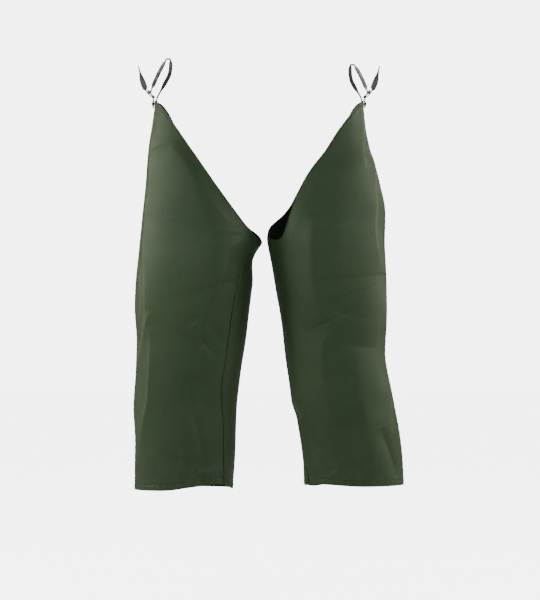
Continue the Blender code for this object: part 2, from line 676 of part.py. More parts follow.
def make_rivet(leg, places, parts, hips):
    """Rivet whose domed cap lies on the tab and whose shaft ends in a burr behind the strap."""
    rivet_z = HIP_POINT_Z - RIVET_DROP
    cap_base = places["tab_outer"] + TAB_THICKNESS / 2 + RUNNING_GAP
    burr_top = places["strap"] - STRAP_THICKNESS / 2 - RUNNING_GAP
    shaft_end = burr_top - BURR_THICKNESS - RUNNING_GAP
    dome_height = RIVET_CAP_HEIGHT - RIVET_CAP_RIM
    dome = [(RIVET_CAP_RADIUS * math.cos(a), RIVET_CAP_RIM + dome_height * math.sin(a))
            for a in (math.radians(18 * k) for k in range(5))] + [(0.0, RIVET_CAP_HEIGHT)]
    profile = dome[::-1] + [(RIVET_CAP_RADIUS, 0.0), (RIVET_SHAFT_RADIUS, 0.0),
                            (RIVET_SHAFT_RADIUS, shaft_end - cap_base), (0.0, shaft_end - cap_base)]
    rivet = turned_piece(f"{leg.name}_hip_rivet", profile, parts)
    rivet.rotation_euler = (0.0, math.pi / 2, 0.0)
    finished(rivet, "rivet", hips["hip"], (cap_base, 0.0, rivet_z), CREASE_ANGLE)

    hole = RIVET_SHAFT_RADIUS + RUNNING_GAP
    ring = [(BURR_RADIUS, 0.0), (BURR_RADIUS, -BURR_THICKNESS), (hole, -BURR_THICKNESS), (hole, 0.0)]
    burr = turned_piece(f"{leg.name}_rivet_burr", ring, parts)
    burr.rotation_euler = (0.0, math.pi / 2, 0.0)
    finished(burr, "rivet", hips["hip"], (burr_top, 0.0, rivet_z), CREASE_ANGLE)


def make_frame(leg, parts, hips):
    """Square wire frame of the buckle, with its heel bar on the buckle's own y axis."""
    half_width = STRAP_WIDTH / 2 + WINDOW_GAP + BUCKLE_BAR_RADIUS
    corners = [Vector((0.0, -half_width)), Vector((BUCKLE_LENGTH, -half_width)),
               Vector((BUCKLE_LENGTH, half_width)), Vector((0.0, half_width))]
    middle = corners[0].lerp(corners[3], 0.5)
    line = fillet([middle] + corners + [middle], BUCKLE_CORNER_RADIUS, math.radians(30))[:-1]
    curve = bpy.data.curves.new(f"{leg.name}_buckle_frame", "CURVE")
    curve.dimensions = "3D"
    curve.bevel_depth = BUCKLE_BAR_RADIUS
    curve.bevel_resolution = 3
    spline = curve.splines.new("POLY")
    spline.points.add(len(line) - 1)
    for point, place in zip(spline.points, line):
        point.co = (place.x, place.y, 0.0, 1.0)
    spline.use_cyclic_u = True
    frame = bpy.data.objects.new(f"{leg.name}_buckle_frame", curve)
    parts.objects.link(frame)
    finished(frame, "buckle", parent=hips["buckle"])


def make_roller(leg, parts, hips):
    """Thin tube that turns on the frame's front bar."""
    bore = BUCKLE_BAR_RADIUS + RUNNING_GAP
    outside = bore + ROLLER_WALL
    half = STRAP_WIDTH / 2
    roller = turned_piece(f"{leg.name}_buckle_roller",
                          [(outside, half), (outside, -half), (bore, -half), (bore, half)], parts)
    roller.rotation_euler = (math.pi / 2, 0.0, 0.0)
    finished(roller, "buckle", hips["buckle"], (BUCKLE_LENGTH, 0.0, 0.0), CREASE_ANGLE)


def make_prong(leg, parts, hips):
    """Flat prong: an eye round the heel bar and a needle that rests on the roller."""
    bore = BUCKLE_BAR_RADIUS + RUNNING_GAP
    eye = bore + PRONG_EYE_WALL
    rest = BUCKLE_BAR_RADIUS + RUNNING_GAP + ROLLER_WALL + RUNNING_GAP
    top = rest + PRONG_NEEDLE_HEIGHT
    end = BUCKLE_LENGTH + PRONG_REACH
    first, last = PRONG_EYE_TURN
    edge = [(eye * math.cos(a), eye * math.sin(a))
            for a in (first + (last - first) * k / TURNED_STEPS for k in range(TURNED_STEPS + 1))]
    edge += [(PRONG_ROOT, rest), (end - PRONG_TIP_LENGTH, rest), (end, rest + PRONG_TIP_HEIGHT / 2),
             (end - PRONG_TIP_LENGTH / 8, rest + PRONG_TIP_HEIGHT), (PRONG_ROOT, top)]
    hole = [(bore * math.cos(a), bore * math.sin(a))
            for a in (2 * math.pi * k / TURNED_STEPS for k in range(TURNED_STEPS))]
    prong = flat_outline(f"{leg.name}_buckle_prong", [edge, hole], PRONG_THICKNESS, parts)
    finished(prong, "buckle", parent=hips["buckle"])


def make_leg(name, parts, cutters):
    """All the pieces of one leg, with empties at its hip, its hinge and its buckle."""
    leg = Leg(name)
    places = stack(leg)
    rivet_z = HIP_POINT_Z - RIVET_DROP

    hinge = bpy.data.objects.new(f"{name}_hip_hinge", None)
    hinge.location = (leg.side * leg.hip_out, 0.0, rivet_z)
    hip = bpy.data.objects.new(f"{name}_hip", None)
    hip.rotation_euler = (0.0, 0.0, math.pi if leg.side < 0 else 0.0)
    buckle = bpy.data.objects.new(f"{name}_buckle", None)
    buckle.parent = hip
    buckle.location = (places["heel"], 0.0, HIP_POINT_Z + HEEL_BAR_RISE)
    buckle.rotation_euler = (math.pi, -BUCKLE_LEAN, 0.0)
    for empty in (hinge, hip, buckle):
        parts.objects.link(empty)

    hole = cutter_rod(f"{name}_rivet_hole", RIVET_SHAFT_RADIUS + RUNNING_GAP, 0.030, cutters)
    hole.location = (leg.hip_out, 0.0, rivet_z)
    hole.parent = hip
    hips = {"hip": hip, "buckle": buckle, "rivet_hole": hole}

    cloth = make_cloth(leg, hinge, parts)
    for piece in ("front_panel", "back_panel", "hip_patch"):
        cut(cloth[piece], hole)
    make_strap(leg, places, parts, cutters, hips)
    make_tab(leg, places, parts, cutters, hips)
    make_rivet(leg, places, parts, hips)
    make_frame(leg, parts, hips)
    make_roller(leg, parts, hips)
    make_prong(leg, parts, hips)


def main():
    for item in list(bpy.data.objects):
        bpy.data.objects.remove(item)
    parts = new_collection("chainsaw_chaps")
    cutters = new_collection("cutters")
    for name in LEGS:
        make_leg(name, parts, cutters)


main()
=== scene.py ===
"""Looks of a pair of belt-hung chainsaw chaps: coated cloth legs, leather straps and small roller buckles.

Metres, +Z up. The wearer faces -Y and has their left hand at +X. In a leg's own frame, "out" is the distance
from the wearer's middle plane, so world x is side * out.
"""

import json
import math

import bpy
import numpy as np
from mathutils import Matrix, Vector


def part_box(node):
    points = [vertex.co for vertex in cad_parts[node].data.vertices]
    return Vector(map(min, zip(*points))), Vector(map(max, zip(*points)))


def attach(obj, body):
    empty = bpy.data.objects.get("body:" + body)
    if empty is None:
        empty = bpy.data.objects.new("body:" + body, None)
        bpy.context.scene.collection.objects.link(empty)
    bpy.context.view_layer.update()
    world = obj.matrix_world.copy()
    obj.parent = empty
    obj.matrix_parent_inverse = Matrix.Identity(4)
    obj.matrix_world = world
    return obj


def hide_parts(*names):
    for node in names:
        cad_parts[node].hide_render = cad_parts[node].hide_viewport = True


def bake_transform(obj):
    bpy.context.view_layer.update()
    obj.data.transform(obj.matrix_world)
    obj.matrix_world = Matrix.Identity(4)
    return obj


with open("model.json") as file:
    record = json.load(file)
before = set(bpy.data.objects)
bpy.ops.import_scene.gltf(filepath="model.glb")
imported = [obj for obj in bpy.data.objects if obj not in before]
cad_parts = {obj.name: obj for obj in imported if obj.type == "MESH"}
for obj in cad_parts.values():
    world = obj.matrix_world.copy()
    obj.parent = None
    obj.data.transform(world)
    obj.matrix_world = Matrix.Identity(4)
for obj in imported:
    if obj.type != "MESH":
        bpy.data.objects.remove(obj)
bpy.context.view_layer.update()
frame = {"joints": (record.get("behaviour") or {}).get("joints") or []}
joints = {joint["name"]: joint for joint in frame["joints"]}

MM = 0.001

# Camera ------------------------------------------------------------------------------------------

VIEW_CENTRE = (0.0147, 0.0, -0.4956)
VIEW_HEIGHT = 1.26             # what the picture's long side takes in, at the object
VIEW_DISTANCE = 5.5
SENSOR = 36.0


def make_camera():
    camera = bpy.data.cameras.new("camera")
    camera.sensor_width = SENSOR
    camera.lens = SENSOR * VIEW_DISTANCE / VIEW_HEIGHT
    camera.clip_end = 100.0
    holder = bpy.data.objects.new("camera", camera)
    holder.location = (VIEW_CENTRE[0], -VIEW_DISTANCE, VIEW_CENTRE[2])
    holder.rotation_euler = (math.pi / 2, 0.0, 0.0)
    bpy.context.scene.collection.objects.link(holder)
    bpy.context.scene.camera = holder


make_camera()

# Sizes shared with the construction --------------------------------------------------------------

HIP_POINT_Z = -0.0765
LEG_LENGTH = 0.820
CROTCH_DROP = 0.2925
THIGH_WIDTH = 0.250
HEM_WIDTH = 0.210
THIGH_DEPTH = 0.200
KNEE_DEPTH = 0.168
HEM_DEPTH = 0.144
HIP_DEPTH = 0.128
CROTCH_SET_BACK = 0.028
HEM_SET_BACK = 0.046
RIVET_DROP = 0.0075
FLAT_TOP = 0.0155              # upright stretch of cloth at the hip point

SHELL_THICKNESS = 0.0009
FACING_THICKNESS = 0.0006
WOVEN_PLY_THICKNESS = 0.0016
FELT_PLY_THICKNESS = 0.0030
LINING_THICKNESS = 0.0005
PLY_GAP = 0.0004
SEAM_GAP = 0.0005
TOP_FACING_DROP = 0.024
HEM_FACING_HEIGHT = 0.022
PAD_HEM_MARGIN = 0.055
PANEL_WIDTH = 0.260            # nominal half girth that turns seam and weave widths into turns
SEAM_TAPE_WIDTH = 0.024

HEM_STITCH = 0.0115            # stitch lines, up from the hem and down from the top edge
TOP_STITCH = 0.0055

STRAP_WIDTH = 0.020
STRAP_THICKNESS = 0.0024
FALL_TWIST = 24.0              # degrees about its own line, outside the belt
CLIMB_TWIST = 17.0             # inside the belt
TAIL_TWIST = 32.0              # at the root of its free tail
TIP_TWIST = 4.0
SADDLE_FLAT = 0.0060           # flat stretch that lies on the belt's upper edge
TAB_WIDTH = 0.018
TAB_THICKNESS = 0.0012
BURR_THICKNESS = 0.0010
BAR_RADIUS = 0.0015
BUCKLE_LENGTH = 0.0149
BUCKLE_LEAN = math.radians(50)
ROLLER_WALL = 0.0008
RUNNING_GAP = 0.0003
WINDOW_GAP = 0.00075
SLOT_HALF = 0.0019              # half the slot that the prong works in

SECTION_POWER = 0.86
HIP_EDGE_POWER = 0.82
HEM_EDGE_POWER = 1.35
EDGE_POWER_START = 0.62

# A fold is a smooth line of (share across the leg, share down it), its height in millimetres, its width in
# millimetres towards the outer and the inner side, the power of its slope, and how strongly its crest is
# painted
# pale: a painted highlight along the crest, which also stands for rubbing wear.
LEGS = {
    "right": {
        "side": -1.0, "hem_out": 0.2730, "lift": 0.0, "saddle": (0.1990, 0.0092),
        "outer_bulge": [(0.0, 0.0), (0.10, 0.0068), (0.26, 0.0126), (0.36, 0.0166), (0.51, 0.0200),
                        (0.62, 0.0112), (0.77, 0.0105), (0.88, 0.0036), (1.0, 0.0)],
        "inner_bulge": [(0.0, 0.0), (0.35, -0.0086), (0.3624, -0.0086), (0.3698, -0.0067), (0.3795, -0.0023),
                        (0.3954, 0.0040), (0.415, 0.0075), (0.47, 0.0030), (0.59, 0.0045),
                        (0.71, 0.0080), (0.77, 0.0100), (0.87, 0.0050), (1.0, 0.0)],
        "front_edge": [(0.0, 0.0), (0.13, 0.10), (0.43, 0.40), (0.667, 0.67), (0.90, 0.932),
                       (0.96, 0.99), (1.0, 1.013)],
        "back_edge": [(0.0, 0.0), (0.05, 0.014), (0.10, 0.050), (0.15, 0.100), (0.20, 0.162), (0.43, 0.393),
                      (0.667, 0.663), (0.88, 0.900), (0.94, 0.943), (0.98, 0.977), (1.0, 1.013)],
        "inseam_turn": [(0.36, 30.0), (0.42, 37.0), (0.47, 45.0), (0.59, 49.0), (0.71, 51.0),
                        (0.83, 43.0), (1.0, 38.0)],
        "front_hem_rise": [(0.0, 0.0), (0.30, 0.001), (0.62, 0.0095), (0.82, 0.0150), (0.90, 0.0140),
                           (1.0, 0.002)],
        "back_hem_rise": [(0.0, 0.0), (1.0, 0.002)],
        "front_folds": [
            ([(0.012, 0.0), (0.020, 0.06), (0.040, 0.13), (0.058, 0.224), (0.045, 0.30)],
             4.1, 6, 20, 1.1, 0.8),
            ([(0.04, 0.22), (0.05, 0.357), (0.10, 0.485), (0.105, 0.54), (0.06, 0.61)],
             4.1, 8, 26, 1.2, 0.6),
            ([(0.0, 0.33), (0.023, 0.414), (0.067, 0.511), (0.04, 0.57)], 2.2, 4, 6, 1.2, 0.7),
            ([(0.14, 0.54), (0.10, 0.575), (0.07, 0.61), (0.045, 0.64), (0.015, 0.70)],
             4.3, 5, 12, 1.0, 0.9),
            ([(0.13, 0.58), (0.142, 0.66), (0.148, 0.76), (0.073, 0.862), (0.01, 0.97)],
             4.9, 7, 16, 1.1, 0.25),
            ([(0.27, 0.10), (0.44, 0.225), (0.58, 0.325), (0.70, 0.47)], 12.2, 60, 42, 1.5, 0.0),
            ([(0.80, 0.34), (0.738, 0.434), (0.677, 0.511), (0.57, 0.61)], 12.2, 60, 24, 1.3, 0.0),
            ([(0.55, 0.575), (0.619, 0.614), (0.75, 0.66)], -4.9, 9, 18, 1.3, 0.0),
            ([(0.54, 0.70), (0.56, 0.754), (0.629, 0.831), (0.73, 0.95)], -9.5, 16, 40, 1.4, 0.0),
            ([(0.50, 1.0), (0.608, 0.926), (0.70, 0.95)], -3.5, 10, 14, 1.2, 0.0),
            ([(0.45, 0.575), (0.575, 0.557), (0.712, 0.588), (0.80, 0.63)], -4.6, 14, 12, 1.5, 0.0),
        ],
        "back_folds": [
            ([(0.10, 0.58), (0.35, 0.615), (0.62, 0.60), (0.85, 0.63)], -4.0, 12, 20, 1.3, 0.2),
            ([(0.20, 0.67), (0.45, 0.655), (0.75, 0.70)], -3.2, 12, 18, 1.3, 0.2),
            ([(0.30, 0.08), (0.36, 0.30), (0.33, 0.54)], 5.0, 40, 48, 1.4, 0.0),
            ([(0.70, 0.34), (0.66, 0.46), (0.72, 0.58)], 4.0, 34, 30, 1.4, 0.0),
            ([(0.58, 0.72), (0.63, 0.86), (0.60, 1.0)], 4.5, 30, 40, 1.3, 0.0),
            ([(0.26, 0.72), (0.20, 0.85), (0.24, 1.0)], -3.5, 20, 30, 1.4, 0.0),
            ([(0.05, 0.20), (0.07, 0.40), (0.05, 0.56)], 2.4, 6, 20, 1.1, 0.6),
        ],
    },
    "left": {
        "side": 1.0, "hem_out": 0.2982, "lift": 0.010, "saddle": (0.1880, -0.0028),
        "outer_bulge": [(0.0, 0.0), (0.06, 0.0), (0.10, 0.0022), (0.155, 0.0124), (0.21, 0.0184),
                        (0.26, 0.0223), (0.36, 0.0154), (0.52, 0.0060), (0.67, -0.0095),
                        (0.78, -0.0017), (0.88, 0.0040), (1.0, 0.0)],
        "inner_bulge": [(0.0, 0.0), (0.36, 0.0), (0.45, 0.0020), (0.57, 0.0040), (0.70, 0.0010),
                        (0.78, -0.0008), (0.83, 0.0050), (0.93, 0.0050), (1.0, 0.0)],
        "front_edge": [(0.0, 0.0), (0.104, 0.072), (0.28, 0.216), (0.433, 0.36), (0.604, 0.50),
                       (0.724, 0.647), (0.795, 0.79), (0.86, 0.955), (0.885, 0.995), (0.93, 1.003),
                       (0.97, 0.995), (1.0, 0.978)],
        "back_edge": [(0.0, 0.0), (0.05, 0.012), (0.10, 0.047), (0.15, 0.098), (0.28, 0.209), (0.433, 0.353),
                      (0.604, 0.491), (0.724, 0.635), (0.80, 0.745), (0.866, 0.815), (0.929, 0.863),
                      (0.966, 0.894), (0.99, 0.930), (1.0, 0.978)],
        "inseam_turn": [(0.36, 8.0), (0.60, 6.0), (0.82, 12.0), (1.0, 26.0)],
        "front_hem_rise": [(0.0, 0.0), (0.40, 0.0), (0.85, 0.004), (1.0, 0.001)],
        "back_hem_rise": [(0.0, 0.0), (0.65, 0.0), (0.90, -0.006), (1.0, -0.002)],
        "front_folds": [
            ([(0.010, 0.0), (0.034, 0.064), (0.071, 0.116), (0.12, 0.18)], 4.1, 7, 22, 1.1, 0.8),
            ([(0.0, 0.04), (0.010, 0.129), (0.034, 0.175), (0.022, 0.215)], 2.4, 4, 6, 1.1, 0.8),
            ([(0.012, 0.14), (0.04, 0.19), (0.082, 0.258), (0.10, 0.323), (0.09, 0.37), (0.05, 0.45)],
             4.3, 8, 24, 1.1, 0.9),
            ([(0.055, 0.33), (0.045, 0.401), (0.035, 0.46)], 2.4, 4, 8, 1.1, 0.7),
            ([(0.015, 0.46), (0.035, 0.53), (0.008, 0.61)], 3.8, 4, 8, 1.0, 1.0),
            ([(0.0, 0.66), (0.04, 0.771), (0.084, 0.841), (0.12, 0.88)], 4.1, 9, 16, 1.1, 0.6),
            ([(0.21, 0.85), (0.129, 0.911), (0.055, 0.98)], -5.4, 10, 14, 1.2, 0.0),
            ([(0.60, 0.30), (0.655, 0.453), (0.653, 0.517), (0.58, 0.57)], 12.2, 60, 26, 1.4, 0.0),
            ([(0.50, 0.55), (0.556, 0.60), (0.612, 0.634), (0.647, 0.699), (0.656, 0.84)],
             10.8, 50, 28, 1.3, 0.0),
            ([(0.90, 0.79), (0.874, 0.88), (0.827, 0.919), (0.70, 0.96)], -6.8, 14, 20, 1.3, 0.0),
            ([(0.36, 0.16), (0.42, 0.30), (0.40, 0.46)], 6.8, 55, 50, 1.6, 0.0),
            ([(0.30, 0.64), (0.34, 0.80), (0.30, 0.99)], 8.1, 34, 40, 1.5, 0.0),
        ],
        "back_folds": [
            ([(0.12, 0.60), (0.40, 0.625), (0.66, 0.595), (0.88, 0.62)], -4.0, 12, 20, 1.3, 0.2),
            ([(0.24, 0.69), (0.50, 0.665), (0.78, 0.685)], -3.2, 12, 18, 1.3, 0.2),
            ([(0.34, 0.10), (0.31, 0.30), (0.37, 0.55)], 5.0, 44, 40, 1.4, 0.0),
            ([(0.68, 0.36), (0.73, 0.48), (0.68, 0.58)], 4.0, 30, 34, 1.4, 0.0),
            ([(0.62, 0.73), (0.57, 0.87), (0.63, 1.0)], 4.5, 36, 30, 1.3, 0.0),
            ([(0.22, 0.74), (0.27, 0.86), (0.22, 1.0)], -3.5, 24, 26, 1.4, 0.0),
            ([(0.04, 0.24), (0.08, 0.38), (0.05, 0.54)], 2.4, 6, 20, 1.1, 0.6),
        ],
    },
}

# Smooth lines ------------------------------------------------------------------------------------


def through(points, x):
    """Smooth line through (x, value) points: a cubic in each span.

    A point's slope is the harmonic mean of the chords beside it, or level where the line turns back.
    """
    at, value = np.array(points, float).T
    x = np.clip(x, at[0], at[-1])
    chord = np.diff(value) / np.diff(at)
    before, after = chord[:-1], chord[1:]
    same_way = before * after > 0
    mean = np.where(same_way, 2 * before * after / np.where(same_way, before + after, 1.0), 0.0)
    slope = np.concatenate([chord[:1], mean, chord[-1:]])
    k = np.clip(np.searchsorted(at, x, side="right") - 1, 0, len(chord) - 1)
    span = at[k + 1] - at[k]
    s = (x - at[k]) / span
    rise = value[k] * (1 + 2 * s) * (1 - s) ** 2 + value[k + 1] * s * s * (3 - 2 * s)
    return rise + span * s * (1 - s) * (slope[k] * (1 - s) - slope[k + 1] * s)


def ease(x, low, high):
    """0 below low, 1 above high, and 3t^2 - 2t^3 between them."""
    t = np.clip((x - low) / (high - low), 0.0, 1.0)
    return t * t * (3 - 2 * t)


def bell(x, width):
    """exp(-(x / width)^2)."""
    return np.exp(-np.square(x / width))


def unit(vectors):
    return vectors / np.linalg.norm(vectors, axis=-1, keepdims=True)


def signed_power(x, power):
    return np.sign(x) * np.abs(x) ** power


def resampled(line, spacing):
    """Points at an even spacing along a polyline."""
    run = np.concatenate([[0.0], np.cumsum(np.linalg.norm(np.diff(line, axis=0), axis=1))])
    at = np.linspace(0.0, run[-1], max(2, int(round(run[-1] / spacing)) + 1))
    return np.stack([np.interp(at, run, line[:, k]) for k in range(line.shape[1])], -1)


def softened(line, rounds):
    """A polyline whose inner points move halfway to their neighbours' middle, as often as rounds says."""
    line = line.copy()
    for _ in range(rounds):
        line[1:-1] = 0.5 * line[1:-1] + 0.25 * (line[:-2] + line[2:])
    return line


# Surface of a leg --------------------------------------------------------------------------------


class Leg:
    """One leg's outer surface, as a function of an angle round it and a share of the way down it.

    Angle 0 is the outer side, -90 degrees the front, 90 the back and 180 the inner side.
    """

    def __init__(self, name):
        for key, value in LEGS[name].items():
            setattr(self, key, value)
        self.name = name
        self.hip_out = abs(joints[f"{name}_leg_swing"]["pos_m"][0])
        self.drop = LEG_LENGTH - self.lift
        self.crotch = CROTCH_DROP / self.drop
        self.knee = 0.5 * (1.0 + self.crotch)

    def outer(self, down):
        flat = FLAT_TOP / self.drop
        slope = np.maximum(0.0, down - flat) / (1.0 - flat)
        return self.hip_out + (self.hem_out - self.hip_out) * slope + through(self.outer_bulge, slope)

    def limits(self, down):
        """Outer and inner edge."""
        below = np.maximum(0.0, (down - self.crotch) / (1.0 - self.crotch))
        crotch_inner = self.outer(self.crotch) - THIGH_WIDTH
        inner = crotch_inner + (self.hem_out - HEM_WIDTH - crotch_inner) * below
        return self.outer(down), inner + through(self.inner_bulge, down)

    def share_across(self, angle):
        """0 at the outer side and 1 at the inner side: half of one less the cosine's signed power."""
        return 0.5 * (1.0 - signed_power(np.cos(angle), SECTION_POWER))

    def bare(self, angle, down):
        """(out, y, z) of the unfolded surface: a superellipse that narrows and leans back down the leg."""
        outer, inner = self.limits(down)
        half = 0.5 * through([(0.0, HIP_DEPTH), (self.crotch, THIGH_DEPTH), (self.knee, KNEE_DEPTH),
                              (1.0, HEM_DEPTH)], down)
        edge = through([(0.0, HIP_EDGE_POWER), (EDGE_POWER_START, SECTION_POWER), (1.0, HEM_EDGE_POWER)],
                       down)
        power = np.where(np.cos(angle) > 0, edge, SECTION_POWER)
        middle = through([(0.0, 0.0), (self.crotch, CROTCH_SET_BACK), (1.0, HEM_SET_BACK)], down)
        return np.stack([outer - (outer - inner) * self.share_across(angle),
                         middle + half * signed_power(np.sin(angle), power),
                         HIP_POINT_Z - self.drop * down], -1)

    def outward(self, angle, down):
        """Unit normal of the unfolded surface, from differences round it and down it."""
        round_leg = self.bare(angle + 0.02, down) - self.bare(angle - 0.02, down)
        lower = self.bare(angle, np.minimum(down + 0.004, 1.0))
        down_leg = lower - self.bare(angle, np.maximum(down - 0.004, 0.0))
        return unit(np.cross(down_leg, round_leg))

    def top(self, angle):
        share = self.share_across(angle)
        edge = np.where(np.sin(angle) > 0, through(self.back_edge, share), through(self.front_edge, share))
        return CROTCH_DROP * edge / self.drop

    def hem(self, angle):
        share = self.share_across(angle)
        front, back = through(self.front_hem_rise, share), through(self.back_hem_rise, share)
        mix = ease(-np.sin(angle), -0.3, 0.3)
        return 1.0 - (front * mix + back * (1.0 - mix)) / self.drop

    def inseam(self, down):
        return -np.pi + np.radians(through(self.inseam_turn, down))

    def folds(self, angle, down):
        """Height of the folds, and how strongly their crests are painted pale:
        a painted highlight that also stands for rubbing wear.

        Each fold is height * exp(-(distance / width)^power) from its line, faded towards its two ends.
        """
        outer, inner = self.limits(down)
        flat = np.stack([self.share_across(angle) * (outer - inner), down * self.drop], -1)
        height, rubbed = np.zeros(angle.shape), np.zeros(angle.shape)
        for folds, way in ((self.front_folds, -1.0), (self.back_folds, 1.0)):
            shown = ease(way * np.sin(angle), 0.02, 0.34)
            for points, rise, wide_out, wide_in, power, crest_highlight in folds:
                line = self.fold_line(points)
                distance, outer_side, fade = from_line(flat, line)
                width = np.where(outer_side, wide_out, wide_in) * MM
                height += shown * fade * rise * MM * np.exp(-(distance / width) ** power)
                # Painted highlight: a narrow pale band along each fold's crest, also standing for rubbing
                # wear.
                rubbed += shown * fade * crest_highlight * bell(distance, 2.2 * MM)
        return height, np.clip(rubbed, 0.0, 1.0)

    def fold_line(self, points):
        across, down = np.array(points).T
        steps = np.linspace(0.0, 1.0, 17)
        order = np.linspace(0.0, 1.0, len(points))
        across = through(np.stack([order, across], -1), steps)
        down = through(np.stack([order, down], -1), steps)
        outer, inner = self.limits(down)
        return np.stack([across * (outer - inner), down * self.drop], -1)

    def place(self, turn, share, metres):
        """Spots on the cloth.

        Turn is -1..0 from the inseam round the front to the outseam, 0..1 on round the back to the inseam,
        and 1..2 round the front again. The way down is a share of the way from the top edge to the hem, and
        then plumb metres.
        """
        turn, share, metres = np.broadcast_arrays(*(np.asarray(v, float) for v in (turn, share, metres)))
        turn = np.where(turn > 1.0, turn - 2.0, turn)

        def angle_at(down):
            inseam = self.inseam(down)
            return np.where(turn < 0, -turn * inseam, turn * (inseam + 2.0 * np.pi))

        angle = angle_at(np.full(turn.shape, self.crotch))
        top = self.top(angle)
        for _ in range(4):
            hem = self.hem(angle)
            down = top + share * (hem - top) + metres / self.drop
            angle = angle_at(np.maximum(down, self.crotch))
        return Spots(self, turn, angle, np.clip(down, 0.0, 1.02), (down - top) * self.drop,
                     (hem - down) * self.drop)


class Spots:
    """Places on a leg, with the surface's normal, its relief and a flat pattern position."""

    def __init__(self, leg, turn, angle, down, from_top, from_hem):
        self.leg = leg
        self.from_top, self.from_hem = from_top, from_hem
        self.base = leg.bare(angle, down)
        self.normal = leg.outward(angle, down)
        self.flat = np.stack([turn * PANEL_WIDTH, -down * leg.drop], -1)
        folds, self.rubbed = leg.folds(angle, down)
        u, v = self.flat[..., 0], self.flat[..., 1]
        wander = 0.9 * MM * (np.sin(21 * u + 9 * v + leg.side) * np.sin(13 * v - 17 * u)
                             + 0.5 * np.sin(47 * v + 31 * u * leg.side))
        held = ease(from_top, 0.0, 0.05) * ease(down, 0.02, 0.12)
        self.relief = held * (folds + wander) + self.sewn(turn, u, v)

    def sewn(self, turn, u, v):
        """Grooves along both seams, the hem's stitch line and the top edge's, with their small puckers."""
        seam = np.minimum(np.abs(turn), np.abs(np.abs(turn) - 1.0)) * PANEL_WIDTH
        seams = -1.5 * MM * bell(seam, 1.3 * MM)
        seams = seams + 0.35 * MM * np.sin(2 * np.pi * v / 0.016) * bell(seam, 6 * MM)
        band = 0.5 * MM * (1.0 - ease(self.from_hem, HEM_STITCH - MM, HEM_STITCH + MM))
        hem = -0.7 * MM * bell(self.from_hem - HEM_STITCH, 1.0 * MM)
        ripple = 0.45 * MM * np.sin(2 * np.pi * u / 0.014 + 1.3 * np.sin(19 * u))
        hem = hem + band + ripple * bell(self.from_hem - HEM_STITCH, 5 * MM)
        top = -0.5 * MM * bell(self.from_top - TOP_STITCH, 0.9 * MM)
        top = top + 0.25 * MM * np.sin(2 * np.pi * u / 0.012) * bell(self.from_top - TOP_STITCH, 4 * MM)
        return seams + hem + top

    def at(self, lift):
        """World points at a height above the folded surface."""
        spot = self.base + self.normal * (self.relief + lift)[..., None]
        return spot * (self.leg.side, 1.0, 1.0)

    def facing(self):
        return self.normal * (self.leg.side, 1.0, 1.0)


def from_line(flat, line):
    """Distance of flat points from a line, whether they lie on its outer side, and a fade to its ends."""
    nearest = np.full(flat.shape[:-1], np.inf)
    outer_side = np.zeros(flat.shape[:-1], bool)
    along = np.zeros(flat.shape[:-1])
    lengths = np.linalg.norm(np.diff(line, axis=0), axis=1)
    starts = np.concatenate([[0.0], np.cumsum(lengths)])
    for a, b, length, start in zip(line, line[1:], lengths, starts):
        way = (b - a) / length
        rel = flat - a
        t = np.clip(rel @ way, 0.0, length)
        away = rel - t[..., None] * way
        distance = np.hypot(away[..., 0], away[..., 1])
        near = distance < nearest
        nearest = np.where(near, distance, nearest)
        outer_side = np.where(near, way[0] * away[..., 1] - way[1] * away[..., 0] > 0, outer_side)
        along = np.where(near, (start + t) / starts[-1], along)
    return nearest, outer_side, np.sqrt(np.clip(4.0 * along * (1.0 - along), 0.0, 1.0))


# Meshes ------------------------------------------------------------------------------------------


def grid_faces(rows, columns, start=0, wrap_columns=False, wrap_rows=False):
    """Four-cornered faces between the points of a grid, which are numbered row by row."""
    index = start + np.arange(rows * columns).reshape(rows, columns)
    if wrap_columns:
        index = np.hstack([index, index[:, :1]])
    if wrap_rows:
        index = np.vstack([index, index[:1]])
    corners = (index[:-1, :-1], index[:-1, 1:], index[1:, 1:], index[1:, :-1])
    return np.stack(corners, -1).reshape(-1, 4)


def slab(outer, inner, wrap=False, hole=None):
    """Closed sheet between two grids of points, with a rim that joins their borders.

    A hole is (first row, last row, first column) and one column wide.
    """
    rows, columns = outer.shape[:2]
    count = rows * columns
    points = np.concatenate([outer.reshape(-1, 3), inner.reshape(-1, 3)])
    skin = grid_faces(rows, columns, 0, wrap)
    index = np.arange(count).reshape(rows, columns)
    faces = []
    if hole:
        first, last, left = hole
        row, column = np.divmod(np.arange(len(skin)), columns - 1)
        skin = skin[(row < first) | (row >= last) | (column != left)]
        side = index[first:last + 1]
        border = np.concatenate([side[:, left], side[::-1, left + 1], side[:1, left]])
        a, b = border[:-1], border[1:]
        faces.append(np.stack([b, a, a + count, b + count], -1))
    faces += [skin, skin[:, ::-1] + count]
    if wrap:
        index = np.hstack([index, index[:, :1]])
        borders = [index[0], index[-1, ::-1]]
    else:
        borders = [np.concatenate([index[0], index[1:, -1], index[-1, -2::-1], index[-2::-1, 0]])]
    for border in borders:
        a, b = border[:-1], border[1:]
        faces.append(np.stack([b, a, a + count, b + count], -1))
    return points, np.concatenate(faces)


def rungs(ring):
    """Flat faces that close a ring of an even number of points, each between two points on both sides."""
    k = np.arange(len(ring) // 2 - 1)
    return np.stack([ring[k], ring[k + 1], ring[-2 - k], ring[-1 - k]], -1)


def tube(rings, closed=False):
    """Skin over rings of points, one ring a row; a closed tube joins its last ring to its first."""
    rows, columns = rings.shape[:2]
    faces = [grid_faces(rows, columns, 0, True, closed)]
    if not closed:
        faces.append(rungs(np.arange(columns))[:, ::-1])
        faces.append(rungs((rows - 1) * columns + np.arange(columns)))
    return rings.reshape(-1, 3), np.concatenate(faces)


def joined(parts):
    """Several (points, faces) as one."""
    starts = np.cumsum([0] + [len(points) for points, _ in parts[:-1]])
    points = np.concatenate([points for points, _ in parts])
    return points, np.concatenate([faces + start for (_, faces), start in zip(parts, starts)])


